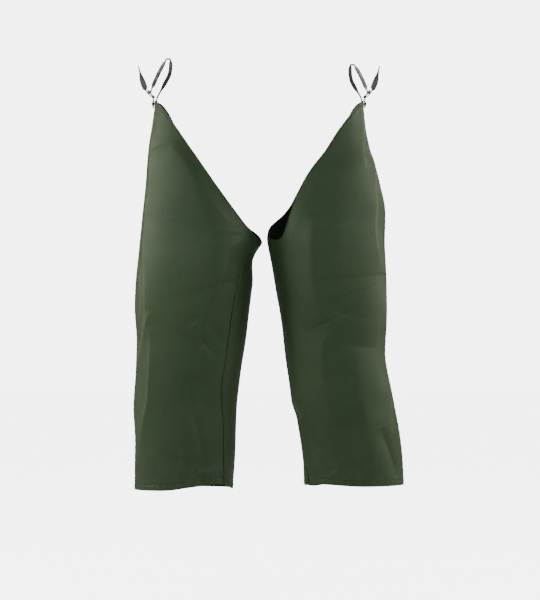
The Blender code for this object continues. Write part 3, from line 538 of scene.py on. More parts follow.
def facing_out(points, faces):
    """The faces, turned round if the volume inside them comes out negative."""
    a, b, c, d = (points[faces[:, k]] for k in range(4))
    volume = np.sum(a * np.cross(b, c)) + np.sum(a * np.cross(c, d))
    return faces if volume > 0 else faces[:, ::-1]


def make_piece(name, shape, material, body, nodes=(), flat=None, values=None):
    """A smooth mesh piece that rides on a body and stands for CAD nodes."""
    points, faces = shape
    faces = np.ascontiguousarray(facing_out(points, faces))
    mesh = bpy.data.meshes.new(name)
    mesh.vertices.add(len(points))
    mesh.vertices.foreach_set("co", points.astype(np.float32).ravel())
    mesh.loops.add(faces.size)
    mesh.loops.foreach_set("vertex_index", faces.astype(np.int32).ravel())
    mesh.polygons.add(len(faces))
    mesh.polygons.foreach_set("loop_start", np.arange(0, faces.size, 4, dtype=np.int32))
    mesh.update(calc_edges=True)
    mesh.polygons.foreach_set("use_smooth", np.ones(len(faces), bool))
    mesh.set_sharp_from_angle(angle=math.radians(50))
    if flat is not None:
        layer = mesh.uv_layers.new(name="UVMap")
        layer.data.foreach_set("uv", flat.reshape(-1, 2)[faces.ravel()].astype(np.float32).ravel())
    for key, value in (values or {}).items():
        attribute = mesh.attributes.new(key, "FLOAT", "POINT")
        attribute.data.foreach_set("value", value.astype(np.float32).ravel())
    mesh.materials.append(material)
    piece = bpy.data.objects.new(name, mesh)
    bpy.context.scene.collection.objects.link(piece)
    if body:
        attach(piece, body)
    if nodes:
        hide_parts(*nodes)
    return piece


# Materials ---------------------------------------------------------------------------------------


class Finish:
    """A Principled material and the nodes that feed it."""

    def __init__(self, name, **constants):
        self.material = bpy.data.materials.new(name)
        self.material.use_nodes = True
        self.tree = self.material.node_tree
        self.shader = self.tree.nodes["Principled BSDF"]
        for key, value in constants.items():
            self.shader.inputs[key.replace("_", " ").title().replace("Ior", "IOR")].default_value = value

    def node(self, kind, inputs=None, output=0, **settings):
        item = self.tree.nodes.new("ShaderNode" + kind)
        for key, value in settings.items():
            setattr(item, key, value)
        for key, value in (inputs or {}).items():
            if isinstance(value, bpy.types.NodeSocket):
                self.tree.links.new(value, item.inputs[key])
            else:
                item.inputs[key].default_value = value
        return item.outputs[output]

    def maths(self, operation, *values):
        return self.node("Math", dict(enumerate(values)), operation=operation)

    def mixed(self, share, first, second):
        return self.node("Mix", {0: share, 6: first, 7: second}, output=2, data_type="RGBA")

    def ranged(self, value, low, high, to_low, to_high):
        sockets = {0: value, 1: low, 2: high, 3: to_low, 4: to_high}
        return self.node("MapRange", sockets)

    def object_place(self):
        return self.node("TexCoord", output="Object")

    def flat_place(self):
        return self.node("UVMap", uv_map="UVMap")

    def noise(self, place, scale, detail=2.0, roughness=0.5):
        sockets = {"Vector": place, "Scale": scale, "Detail": detail, "Roughness": roughness}
        return self.node("TexNoise", sockets)

    def weave(self, place, pitch):
        """Plain weave: the product of two sines, whose sign says which thread lies on top."""
        split = self.node("SeparateXYZ", {0: place}, output="X")
        u, v = split, split.node.outputs["Y"]
        waves = [self.maths("SINE", self.maths("MULTIPLY", way, 2.0 * math.pi / pitch)) for way in (u, v)]
        return self.maths("MULTIPLY", *waves)

    def colour(self, socket):
        self.tree.links.new(socket, self.shader.inputs["Base Color"])

    def roughness(self, socket):
        self.tree.links.new(socket, self.shader.inputs["Roughness"])

    def bump(self, layers):
        """Bumps one over another; each layer is (height, distance in metres, strength)."""
        normal = None
        for height, distance, strength in layers:
            inputs = {"Height": height, "Distance": distance, "Strength": strength}
            if normal is not None:
                inputs["Normal"] = normal
            normal = self.node("Bump", inputs)
        self.tree.links.new(normal, self.shader.inputs["Normal"])


def rgb(red, green, blue):
    return (red, green, blue, 1.0)


OLIVE = rgb(0.054, 0.090, 0.042)
OLIVE_DARK = rgb(0.043, 0.075, 0.035)
OLIVE_PALE = rgb(0.076, 0.112, 0.054)
# Pale olive for the fold crests: a painted highlight, also standing for rubbing wear.
CREST_HIGHLIGHT_OLIVE = rgb(0.108, 0.135, 0.060)
SOIL = rgb(0.050, 0.050, 0.034)


def shell_cloth():
    """Coated olive nylon: a fine plain weave under a satin coat, mottled, and painted pale along its fold
    crests, a painted highlight that also stands for rubbing wear.
    """
    cloth = Finish("coated_shell_cloth", roughness=0.5, specular_ior_level=0.32)
    place, flat = cloth.object_place(), cloth.flat_place()
    clouds = cloth.noise(place, 7.0, 4.0, 0.6)
    shade = cloth.mixed(cloth.ranged(clouds, 0.30, 0.70, 0.0, 1.0), OLIVE_DARK, OLIVE)
    specks = cloth.noise(place, 260.0, 3.0, 0.7)
    shade = cloth.mixed(cloth.ranged(specks, 0.45, 0.75, 0.0, 0.22), shade, OLIVE_PALE)
    # Painted highlight: the fold crests turn pale olive in noisy patches, also standing for rubbing wear.
    rubbed = cloth.node("Attribute", output="Fac", attribute_name="rubbed")
    patchy = cloth.ranged(cloth.noise(place, 45.0, 3.0, 0.6), 0.30, 0.62, 0.35, 1.0)
    shade = cloth.mixed(cloth.maths("MULTIPLY", rubbed, patchy), shade, CREST_HIGHLIGHT_OLIVE)
    soiled = cloth.node("Attribute", output="Fac", attribute_name="soiled")
    dirt = cloth.ranged(cloth.noise(place, 30.0, 5.0, 0.65), 0.42, 0.68, 0.0, 0.5)
    shade = cloth.mixed(cloth.maths("MULTIPLY", soiled, dirt), shade, SOIL)
    cloth.colour(shade)
    cloth.roughness(cloth.ranged(cloth.noise(place, 18.0, 4.0, 0.6), 0.3, 0.7, 0.40, 0.54))
    cloth.bump([(cloth.noise(place, 34.0, 3.0, 0.5), 0.0012, 0.16), (specks, 0.0004, 0.10),
                (cloth.weave(flat, 0.0011), 0.00012, 0.35)])
    return cloth.material


def plain_cloth(name, colour, pale, roughness, pitch, fuzz):
    """Uncoated cloth: a plain weave whose high threads are paler, with a fibrous noise over it."""
    cloth = Finish(name, roughness=roughness, sheen_weight=0.25, sheen_roughness=0.6)
    place, flat = cloth.object_place(), cloth.flat_place()
    threads = cloth.weave(flat, pitch)
    fibres = cloth.noise(place, 420.0, 3.0, 0.7)
    shade = cloth.mixed(cloth.ranged(threads, -1.0, 1.0, 0.0, 0.6), colour, pale)
    shade = cloth.mixed(cloth.ranged(cloth.noise(place, 16.0, 3.0, 0.6), 0.3, 0.7, 0.0, 0.5), shade, colour)
    cloth.colour(shade)
    cloth.bump([(fibres, 0.0004, fuzz), (threads, 0.0002, 0.5)])
    return cloth.material


def felt():
    """Needled felt: long fibres as stretched noise over soft clumps."""
    cloth = Finish("felt_plies", roughness=0.95, sheen_weight=0.4, sheen_roughness=0.7)
    place = cloth.object_place()
    stretched = cloth.node("Mapping", {"Vector": place, "Scale": (1.0, 1.0, 6.0)})
    fibres = cloth.noise(stretched, 190.0, 5.0, 0.75)
    clumps = cloth.noise(place, 40.0, 3.0, 0.6)
    tufts = cloth.ranged(fibres, 0.35, 0.65, 0.0, 1.0)
    shade = cloth.mixed(tufts, rgb(0.52, 0.46, 0.27), rgb(0.78, 0.73, 0.52))
    cloth.colour(cloth.mixed(cloth.ranged(clumps, 0.3, 0.7, 0.0, 0.3), shade, rgb(0.45, 0.40, 0.24)))
    cloth.bump([(clumps, 0.0010, 0.4), (fibres, 0.0006, 0.6)])
    return cloth.material


def leather():
    """Smooth dark leather: cell-like grain, worn paler at its edges."""
    hide = Finish("strap_leather", roughness=0.5, specular_ior_level=0.35)
    flat = hide.flat_place()
    grain = hide.node("TexVoronoi", {"Vector": flat, "Scale": 1500.0, "Randomness": 0.9}, output="Distance")
    cloud = hide.noise(flat, 90.0, 4.0, 0.6)
    patchy = hide.ranged(cloud, 0.3, 0.7, 0.0, 1.0)
    shade = hide.mixed(patchy, rgb(0.020, 0.019, 0.016), rgb(0.044, 0.040, 0.034))
    edge = hide.node("Attribute", output="Fac", attribute_name="rubbed")
    scuffs = hide.ranged(hide.noise(flat, 320.0, 4.0, 0.7), 0.40, 0.70, 0.2, 1.0)
    shade = hide.mixed(hide.maths("MULTIPLY", edge, scuffs), shade, rgb(0.060, 0.052, 0.040))
    hide.colour(shade)
    hide.roughness(hide.ranged(cloud, 0.3, 0.7, 0.34, 0.52))
    hide.bump([(cloud, 0.0004, 0.3), (grain, 0.0002, 0.5)])
    return hide.material


def plated_wire(name, bright, dull, roughness, spots):
    """Plated metal: fine scratches in its roughness, and dull spots where the plating has gone."""
    metal = Finish(name, metallic=1.0, roughness=roughness)
    place = metal.object_place()
    worn = metal.ranged(metal.noise(place, 420.0, 5.0, 0.7), 0.50, 0.66, 0.0, spots)
    metal.colour(metal.mixed(worn, bright, dull))
    drawn_out = metal.node("Mapping", {"Vector": place, "Scale": (1.0, 7.0, 1.0)})
    scratches = metal.noise(drawn_out, 700.0, 3.0, 0.6)
    metal.roughness(metal.ranged(scratches, 0.3, 0.7, roughness - 0.07, roughness + 0.14))
    metal.bump([(metal.noise(place, 900.0, 4.0, 0.6), 0.00006, 0.35)])
    return metal.material


def thread():
    """Bonded thread: a twist of two plies along it."""
    cord = Finish("thread", roughness=0.55, sheen_weight=0.2)
    place = cord.object_place()
    twist = cord.node("TexWave", {"Vector": place, "Scale": 900.0, "Distortion": 1.0},
                      bands_direction="DIAGONAL")
    ply = cord.ranged(twist, 0.0, 1.0, 0.0, 0.7)
    cord.colour(cord.mixed(ply, rgb(0.030, 0.038, 0.023), rgb(0.055, 0.067, 0.040)))
    cord.bump([(twist, 0.0001, 0.5)])
    return cord.material


FINISHES = {
    "shell": shell_cloth(),
    "facing": plain_cloth("facing_cloth", rgb(0.010, 0.016, 0.010),
        rgb(0.020, 0.028, 0.018), 0.75, 0.0012, 0.3),
    "lining": plain_cloth("lining_cloth", rgb(0.016, 0.021, 0.014),
        rgb(0.030, 0.037, 0.026), 0.85, 0.0014, 0.4),
    "webbing": plain_cloth("tab_webbing", rgb(0.036, 0.054, 0.026),
        rgb(0.062, 0.086, 0.042), 0.60, 0.0016, 0.3),
    "woven_ply": plain_cloth("woven_plies", rgb(0.50, 0.40, 0.13), rgb(0.72, 0.62, 0.28), 0.85, 0.0026, 0.5),
    "felt_ply": felt(),
    "strap": leather(),
    "buckle": plated_wire("plated_wire", rgb(0.30, 0.285, 0.26), rgb(0.11, 0.095, 0.075), 0.30, 0.8),
    "roller": plated_wire("bright_tube", rgb(0.62, 0.57, 0.48), rgb(0.24, 0.20, 0.14), 0.28, 0.6),
    "rivet": plated_wire("blackened_brass", rgb(0.085, 0.078, 0.064), rgb(0.36, 0.27, 0.14), 0.34, 0.5),
    "thread": thread(),
}

# Cloth of one leg --------------------------------------------------------------------------------

NEAR_SEAM = np.array([0.0, 0.6, 1.2, 1.9, 2.8, 4.0, 5.6, 8.0]) * MM / PANEL_WIDTH
NEAR_TOP = np.array([0.0, 0.5, 1.2, 2.4, 3.6, 4.5, 5.1, 5.5, 5.9, 6.6, 8.0, 10.5, 14.0, 18.0]) * MM
NEAR_HEM = np.array([17.0, 14.0, 12.8, 12.1, 11.5, 10.9, 10.2, 8.4, 6.0, 3.6, 1.6, 0.6, 0.0]) * MM
EDGE_ROUND = 0.00025           # how far a cut edge is rounded off


def between(first, last, count):
    return np.linspace(first, last, count)


def panel_turns(first, last, count):
    """Turns across a panel, closer together beside its two seams."""
    middle = between(first + NEAR_SEAM[-1], last - NEAR_SEAM[-1], count)[1:-1]
    return np.concatenate([first + NEAR_SEAM, middle, last - NEAR_SEAM[::-1]])


def body_rows(first, last, count):
    """(share, metres) rows from first metres under the top edge to last metres above the hem."""
    share = between(0.0, 1.0, count)
    return np.stack([share, first * (1.0 - share) - last * share], -1)


def panel_rows(count):
    top = np.stack([np.zeros(len(NEAR_TOP)), NEAR_TOP], -1)
    hem = np.stack([np.ones(len(NEAR_HEM)), -NEAR_HEM], -1)
    return np.concatenate([top, body_rows(0.022, 0.020, count), hem])


def cloth_layer(leg, name, turns, rows, inset, thickness, finish, wrap=False, bulge=None):
    """A layer of cloth under the folded surface: two skins a thickness apart, with rounded cut edges."""
    spots = leg.place(turns[None, :], rows[:, :1], rows[:, 1:])
    depth = np.full(spots.relief.shape, inset)
    if bulge is not None:
        depth = depth + bulge(spots, turns[None, :])
    border = np.zeros(spots.relief.shape)
    border[[0, -1], :] = EDGE_ROUND
    if not wrap:
        border[:, [0, -1]] = EDGE_ROUND
    shape = slab(spots.at(-depth - border), spots.at(-depth - thickness + border), wrap)
    flat = np.concatenate([spots.flat.reshape(-1, 2)] * 2)
    soiled = 1.0 - ease(spots.from_hem, 0.02, 0.16)
    # On the outer skin this marks the painted highlight along the fold crests, also standing for rubbing
    # wear.
    values = {"rubbed": np.concatenate([spots.rubbed.ravel(), np.zeros(spots.rubbed.size)]),
              "soiled": np.tile(soiled.ravel(), 2)}
    node = f"{leg.name}_{name}"
    piece = make_piece(f"{node}_cloth", shape, FINISHES[finish], f"{leg.name}_leg", [node], flat,
                       values)
    return piece


def make_cloth(leg):
    """Shell, facings, tapes, pad and lining, from the outside in."""
    gap = 0.5 * SEAM_GAP / PANEL_WIDTH
    tape = 0.5 * SEAM_TAPE_WIDTH / PANEL_WIDTH
    under = SHELL_THICKNESS + PLY_GAP
    rows = panel_rows(250)
    cloth_layer(leg, "front_panel", panel_turns(-1.0 + gap, -gap, 92), rows, 0.0, SHELL_THICKNESS, "shell")
    cloth_layer(leg, "back_panel", panel_turns(gap, 1.0 - gap, 92), rows, 0.0, SHELL_THICKNESS, "shell")

    edge = 0.0004
    patch = 0.13
    facing_rows = np.stack([np.zeros(12), between(edge, TOP_FACING_DROP - SEAM_GAP, 12)], -1)
    cloth_layer(leg, "top_facing", between(patch + gap, 2.0 - patch - gap, 260), facing_rows, under,
                FACING_THICKNESS, "facing")
    cloth_layer(leg, "hip_patch", between(-patch, patch, 40), facing_rows, under, FACING_THICKNESS, "facing")
    hem_rows = np.stack([np.ones(12), -between(HEM_FACING_HEIGHT, edge, 12)], -1)
    cloth_layer(leg, "hem_facing", between(0.0, 2.0, 281)[:-1], hem_rows, under, FACING_THICKNESS, "facing",
                wrap=True)
    tape_rows = body_rows(TOP_FACING_DROP + SEAM_GAP, HEM_FACING_HEIGHT + SEAM_GAP, 230)
    cloth_layer(leg, "inseam_tape", between(1.0 - tape, 1.0 + tape, 13), tape_rows, under, FACING_THICKNESS,
                "facing")
    cloth_layer(leg, "outseam_tape", between(-tape, tape, 13), tape_rows, under, FACING_THICKNESS, "facing")

    pad_edge = 0.055
    pad_rows = body_rows(0.060, PAD_HEM_MARGIN, 190)
    pad_turns = between(-1.0 + pad_edge, -pad_edge, 70)
    woven_depth = under + 0.0003
    felt_depth = woven_depth + WOVEN_PLY_THICKNESS + PLY_GAP
    lining_depth = felt_depth + FELT_PLY_THICKNESS + 2 * PLY_GAP
    cloth_layer(leg, "pad_woven_plies", pad_turns, pad_rows, woven_depth, WOVEN_PLY_THICKNESS, "woven_ply")
    felt_piece = cloth_layer(leg, "pad_felt_plies", pad_turns, pad_rows, felt_depth, FELT_PLY_THICKNESS,
                             "felt_ply")

    def over_pad(spots, turns):
        """The lining stands off the shell by the pad's thickness, and eases down to it beyond the pad."""
        across = np.minimum(turns + 1.0, -turns)
        inside = ease(across, tape, pad_edge) * ease(spots.from_top, TOP_FACING_DROP, 0.058)
        return (lining_depth - under) * inside * ease(spots.from_hem, HEM_FACING_HEIGHT, 0.052)

    lining_rows = body_rows(TOP_FACING_DROP + SEAM_GAP, HEM_FACING_HEIGHT + SEAM_GAP, 210)
    cloth_layer(leg, "front_lining", between(-1.0 + tape + gap, -tape - gap, 84), lining_rows, under,
                LINING_THICKNESS, "lining", bulge=over_pad)


def stitch_row(path, outward, pitch=3.6 * MM, length=2.7 * MM, radius=0.30 * MM):
    """Stitches along a path: short capsules of five rings, arched so that their ends dip into the cloth."""
    run = np.concatenate([[0.0], np.cumsum(np.linalg.norm(np.diff(path, axis=0), axis=1))])
    at = np.arange(pitch / 2, run[-1], pitch)

    def sample(values, where):
        return np.stack([np.interp(where, run, values[:, k]) for k in range(3)], -1)

    along = unit(sample(path, at + 0.2 * pitch) - sample(path, at - 0.2 * pitch))
    up = unit(sample(outward, at))
    across = unit(np.cross(along, up))
    steps = np.array([-0.5, -0.36, 0.0, 0.36, 0.5])
    fullness = np.array([0.35, 0.85, 1.0, 0.85, 0.35])
    turn = np.arange(6) * np.pi / 3
    arch = radius * (0.9 - 6.4 * steps ** 2)
    x = np.broadcast_to((steps * length)[:, None], (5, 6))
    y = fullness[:, None] * radius * np.cos(turn)
    z = fullness[:, None] * radius * np.sin(turn) + arch[:, None]
    rings = (sample(path, at)[:, None, None] + along[:, None, None] * x[..., None]
             + across[:, None, None] * y[..., None] + up[:, None, None] * z[..., None])
    _, faces = tube(rings[0])
    count = rings.shape[1] * rings.shape[2]
    faces = (np.arange(len(at))[:, None, None] * count + faces).reshape(-1, 4)
    return rings.reshape(-1, 3), faces


def sewn_line(leg, turns, share, metres, lift=0.0):
    """Path and normals of a stitch line on the leg."""
    spots = leg.place(turns, share, metres)
    return spots.at(lift), spots.facing()


def make_leg_stitching(leg):
    """Rows of stitches: round the hem, along the top edge, and beside both seams."""
    rows = []
    for start, end in ((-0.985, -0.015), (0.015, 0.985)):
        turns = between(start, end, 420)
        rows.append(stitch_row(*sewn_line(leg, turns, 1.0, -HEM_STITCH, 0.15 * MM)))
        rows.append(stitch_row(*sewn_line(leg, turns, 0.0, TOP_STITCH, 0.15 * MM)))
    down = body_rows(0.010, 0.004, 900)
    beside = 3.2 * MM / PANEL_WIDTH
    for turn in (beside, 1.0 - beside):
        rows.append(stitch_row(*sewn_line(leg, turn, down[:, 0], down[:, 1], 0.05 * MM)))
    make_piece(f"{leg.name}_leg_stitching", joined(rows), FINISHES["thread"], f"{leg.name}_leg")


# Strap, tab and buckle ---------------------------------------------------------------------------


def turned2(vector, angle):
    c, s = math.cos(angle), math.sin(angle)
    return np.array([c * vector[0] - s * vector[1], s * vector[0] + c * vector[1]])


def touching(point, centre, radius, hand):
    """Where the line from a point touches a circle; hand is +1 or -1 for its two sides."""
    towards = centre - point
    far = np.linalg.norm(towards)
    run = math.sqrt(far * far - radius * radius)
    return point + turned2(towards / far, hand * math.asin(radius / far)) * run


def arc(centre, start, end, hand, steps=24):
    """Points round a centre from start to end, anticlockwise for a hand of +1."""
    first, last = start - centre, end - centre
    angle = hand * (math.atan2(last[1], last[0]) - math.atan2(first[1], first[0])) % (2 * math.pi)
    return np.array([centre + turned2(first, hand * angle * k / steps) for k in range(steps + 1)])


EDGE_COLUMNS = np.array([0.36, 0.55, 0.72, 0.85, 0.93, 0.97, 0.99, 1.0])


def ribbon(line, widths, thickness, twist, slot_half, slotted):
    """A flat strip carried along a line in the (out, up) plane, with a slot along its middle.

    Its skins stand half * (1 - |share|^14)^(1/2) off the line, where share is -1..1 across it, and twist
    turns it about the line. The slot has the rows of the line that are marked slotted.
    """
    along = unit(np.gradient(line, axis=0))
    normal = np.stack([-along[:, 1], along[:, 0]], -1)
    middle = slot_half / (0.5 * widths.max())
    share = np.concatenate([-EDGE_COLUMNS[::-1], [-middle, middle], EDGE_COLUMNS])
    u = 0.5 * widths[:, None] * share
    v = 0.5 * thickness * np.maximum(0.15, np.sqrt(1.0 - np.abs(share) ** 14))
    c, s = np.cos(twist)[:, None], np.sin(twist)[:, None]
    skins = []
    for side in (1.0, -1.0):
        w = u * s + side * v * c
        skins.append(np.stack([line[:, :1] + normal[:, :1] * w, u * c - side * v * s,
                               line[:, 1:] + normal[:, 1:] * w], -1))
    run = np.concatenate([[0.0], np.cumsum(np.linalg.norm(np.diff(line, axis=0), axis=1))])
    flat = np.stack([u, np.broadcast_to(run[:, None], u.shape)], -1)
    flat = np.concatenate([flat.reshape(-1, 2), flat.reshape(-1, 2) + 0.3])
    rows = np.flatnonzero(slotted)
    hole = (rows[0], rows[-1], len(EDGE_COLUMNS))
    rubbed = np.tile(np.broadcast_to(ease(np.abs(share), 0.80, 0.97), u.shape).ravel(), 2)
    return skins, hole, flat, rubbed


def to_world(leg, points):
    return points * (leg.side, 1.0, 1.0)


class Buckle:
    """Places of one buckle: x runs from its heel bar to its front bar, and z away from the wearer's body."""

    def __init__(self, leg):
        self.leg = leg
        pivot = joints[f"{leg.name}_buckle_tilt"]["pos_m"]
        self.heel = np.array([abs(pivot[0]), pivot[2]])
        self.way = np.array([math.cos(BUCKLE_LEAN), math.sin(BUCKLE_LEAN)])
        self.away = np.array([math.sin(BUCKLE_LEAN), -math.cos(BUCKLE_LEAN)])
        self.front = self.heel + self.way * BUCKLE_LENGTH

    def world(self, points):
        """World points for (x, y, z) in the buckle's own frame."""
        flat = self.heel + points[..., :1] * self.way + points[..., 2:] * self.away
        return to_world(self.leg, np.stack([flat[..., 0], points[..., 1], flat[..., 1]], -1))


def hip_stack(leg):
    """Distances out from the middle plane of what the rivet holds, as in the construction."""
    burr = np.array(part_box(f"{leg.name}_rivet_burr")) * (leg.side, 1, 1)
    tab = np.array(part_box(f"{leg.name}_buckle_tab")) * (leg.side, 1, 1)
    burr_top = burr[:, 0].max()
    strap = burr_top + RUNNING_GAP + STRAP_THICKNESS / 2
    heel = abs(joints[f"{leg.name}_buckle_tilt"]["pos_m"][0])
    half = 0.5 * (TAB_THICKNESS + RUNNING_GAP)
    return {"strap": strap, "tab_inner": heel - half, "tab_outer": heel + half, "burr": burr_top,
            "low": tab[:, 2].min()}


def strap_line(leg, places, buckle):
    """Middle line of the strap, (out, up): up inside the hip, over the belt, round the roller and up."""
    saddle = np.array(leg.saddle)
    corner = 0.0022
    half = SADDLE_FLAT / 2 + corner
    over = saddle[1] + STRAP_THICKNESS / 2
    wrap = BAR_RADIUS + RUNNING_GAP + ROLLER_WALL + RUNNING_GAP + STRAP_THICKNESS / 2
    rising = np.array([(places["strap"], places["low"]),
                       (places["strap"], HIP_POINT_Z + 0.004),
                       (saddle[0] + 0.0052, saddle[1] - 0.047),
                       (saddle[0] - 0.0022, saddle[1] - 0.034),
                       (saddle[0] - half, saddle[1] - 0.020),
                       (saddle[0] - half, over - 0.0030)])
    rising = softened(resampled(rising, 0.0008), 60)
    left, right = saddle[0] - half + corner, saddle[0] + half - corner
    turns = np.linspace(np.pi, np.pi / 2, 8)[:, None]
    first = np.array([left, over - corner]) + corner * np.hstack([np.cos(turns), np.sin(turns)])
    turns = np.linspace(np.pi / 2, 0.08, 8)[:, None]
    second = np.array([right, over - corner]) + corner * np.hstack([np.cos(turns), np.sin(turns)])
    touch_in = touching(second[-1], buckle.front, wrap, -1.0)
    tail_end = buckle.front + np.array([0.0215, 0.0535])
    touch_out = touching(tail_end, buckle.front, wrap, 1.0)
    bow = np.linspace(0.0, 1.0, 24)[1:-1, None]
    across = np.array([0.9, 0.45])
    falling = second[-1] + (touch_in - second[-1]) * bow + across * 0.0016 * np.sin(np.pi * bow)
    wrapped = arc(buckle.front, touch_in, touch_out, 1.0)
    tail = touch_out + (tail_end - touch_out) * bow + np.array([0.93, -0.37]) * 0.0020 * np.sin(np.pi * bow)
    line = np.concatenate([rising, first, second, falling, wrapped, tail, tail_end[None]])
    keep = np.concatenate([[True], np.linalg.norm(np.diff(line, axis=0), axis=1) > 1e-6])
    return softened(resampled(line[keep], 0.0006), 2), touch_out


def make_strap(leg, places, buckle):
    line, touch_out = strap_line(leg, places, buckle)
    run = np.linspace(0.0, 1.0, len(line))
    total = np.linalg.norm(np.diff(line, axis=0), axis=1).sum()
    left = (1.0 - run) * total
    point = 0.014
    widths = STRAP_WIDTH * (0.10 + 0.90 * np.sqrt(np.clip(left / point, 0.0, 1.0)))
    tail_run = np.linalg.norm(line - touch_out, axis=1)
    tail_start = np.argmin(np.where(run > 0.5, tail_run, 1.0))
    tail = (np.arange(len(line)) - tail_start) / (len(line) - tail_start)
    saddle_end = np.argmax(line[:, 1])
    fall = (np.arange(len(line)) - saddle_end) / (tail_start - saddle_end)
    climb = run / run[saddle_end]
    turn = FALL_TWIST * ease(fall, 0.02, 0.22) * ease(0.86 - fall, 0.0, 0.16)
    turn += CLIMB_TWIST * ease(climb, 0.30, 0.50) * ease(0.98 - climb, 0.0, 0.10)
    turn -= TAIL_TWIST * ease(tail, 0.03, 0.17) * ease(0.95 - tail, 0.10, 0.62)
    turn -= TIP_TWIST * ease(tail, 0.1, 0.5)
    rel = line - buckle.heel
    along, away = rel @ buckle.way, rel @ buckle.away
    slot_end = BUCKLE_LENGTH + 0.0068
    slotted = (along > BAR_RADIUS) & (along < slot_end) & (away > 0.0008) & (fall > 0.5)
    skins, hole, flat, rubbed = ribbon(line, widths, STRAP_THICKNESS, np.radians(turn), SLOT_HALF, slotted)
    shape = slab(*(to_world(leg, skin) for skin in skins), hole=hole)
    piece = make_piece(f"{leg.name}_strap_leather", shape, FINISHES["strap"], None,
                       [f"{leg.name}_belt_strap"], flat, {"rubbed": rubbed})
    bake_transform(piece)


def make_tab(leg, places, buckle):
    """Webbing folded round the heel bar, both ends riveted to the hip point."""
    radius = BAR_RADIUS + RUNNING_GAP + TAB_THICKNESS / 2
    neck = buckle.heel[1] - 0.0065
    inner, outer = np.array([places["tab_inner"], neck]), np.array([places["tab_outer"], neck])
    touch_in = touching(inner, buckle.heel, radius, 1.0)
    touch_out = touching(outer, buckle.heel, radius, -1.0)
    low = places["low"]
    wrap = arc(buckle.heel, touch_in, touch_out, -1.0)
    ends = [(places["tab_inner"], low)], [(places["tab_outer"], low)]
    line = np.concatenate([ends[0], [inner], wrap, [outer], ends[1]])
    line = softened(resampled(line, 0.0005), 3)
    slotted = line[:, 1] > buckle.heel[1] - 0.0049
    skins, hole, flat, rubbed = ribbon(line, np.full(len(line), TAB_WIDTH), TAB_THICKNESS,
                                       np.zeros(len(line)), SLOT_HALF, slotted)
    shape = slab(*(to_world(leg, skin) for skin in skins), hole=hole)
    make_piece(f"{leg.name}_tab_webbing", shape, FINISHES["webbing"], "belt_straps",
               [f"{leg.name}_buckle_tab"], flat, {"rubbed": rubbed})


def make_frame(leg, buckle):
    """Square wire frame: a circle carried round a rounded square, with a butt weld in its heel bar."""
    half = STRAP_WIDTH / 2 + WINDOW_GAP + BAR_RADIUS
    radius = 0.0018
    turns = np.linspace(0.0, np.pi / 2, 9)
    corners = [(BUCKLE_LENGTH - radius, half - radius, 0.0), (radius, half - radius, 0.5),
               (radius, radius - half, 1.0), (BUCKLE_LENGTH - radius, radius - half, 1.5)]
    line = np.concatenate([np.stack([x + radius * np.cos(turns + quarter * np.pi),
                                     y + radius * np.sin(turns + quarter * np.pi)], -1)
                           for x, y, quarter in corners])
    line = resampled(np.vstack([line, line[:1]]), 0.0006)[:-1]
    before, after = np.roll(line, 1, axis=0), np.roll(line, -1, axis=0)
    along = unit(after - before)
    across = np.stack([-along[:, 1], along[:, 0]], -1)
    turn = (np.arange(20) + 0.5) * 2 * np.pi / 20
    weld = 1.0 + 0.10 * bell(line[:, 1] + 0.004, 0.0007) * (line[:, 0] < 0.002)
    ring = BAR_RADIUS * weld[:, None]
    x = line[:, :1] + across[:, :1] * ring * np.cos(turn)
    y = line[:, 1:] + across[:, 1:] * ring * np.cos(turn)
    z = np.broadcast_to(ring * np.sin(turn), x.shape)
    shape = tube(buckle.world(np.stack([x, y, z], -1)), closed=True)
    make_piece(f"{leg.name}_frame_wire", shape, FINISHES["buckle"], f"{leg.name}_buckle",
               [f"{leg.name}_buckle_frame"])


def round_bar(profile, centre_x, centre_z, steps=40):
    """A closed (radius, y) profile turned about a line along y."""
    turn = (np.arange(steps) + 0.5) * 2 * np.pi / steps
    radius, y = np.array(profile).T
    x = centre_x + radius[:, None] * np.cos(turn)
    z = centre_z + radius[:, None] * np.sin(turn)
    return np.stack([x, np.broadcast_to(y[:, None], x.shape), z], -1)


def make_roller(leg, buckle):
    """Thin tube with its two lips rolled in."""
    bore = BAR_RADIUS + RUNNING_GAP
    outside = bore + ROLLER_WALL
    half = STRAP_WIDTH / 2
    lip = ROLLER_WALL / 2
    turns = np.linspace(0.0, np.pi, 9)
    right = [(bore + lip + lip * math.cos(t), half - lip + lip * math.sin(t)) for t in turns]
    left = [(bore + lip - lip * math.cos(t), lip - half - lip * math.sin(t)) for t in turns]
    body = [(outside - 0.00012 * math.sin(math.pi * k / 8), half - lip - (2 * half - 2 * lip) * k / 8)
            for k in range(8, 0, -1)]
    profile = right + left + body[:-1]
    rings = round_bar(profile, BUCKLE_LENGTH, 0.0)
    make_piece(f"{leg.name}_roller_tube", tube(buckle.world(rings), closed=True), FINISHES["roller"],
               f"{leg.name}_roller", [f"{leg.name}_buckle_roller"])


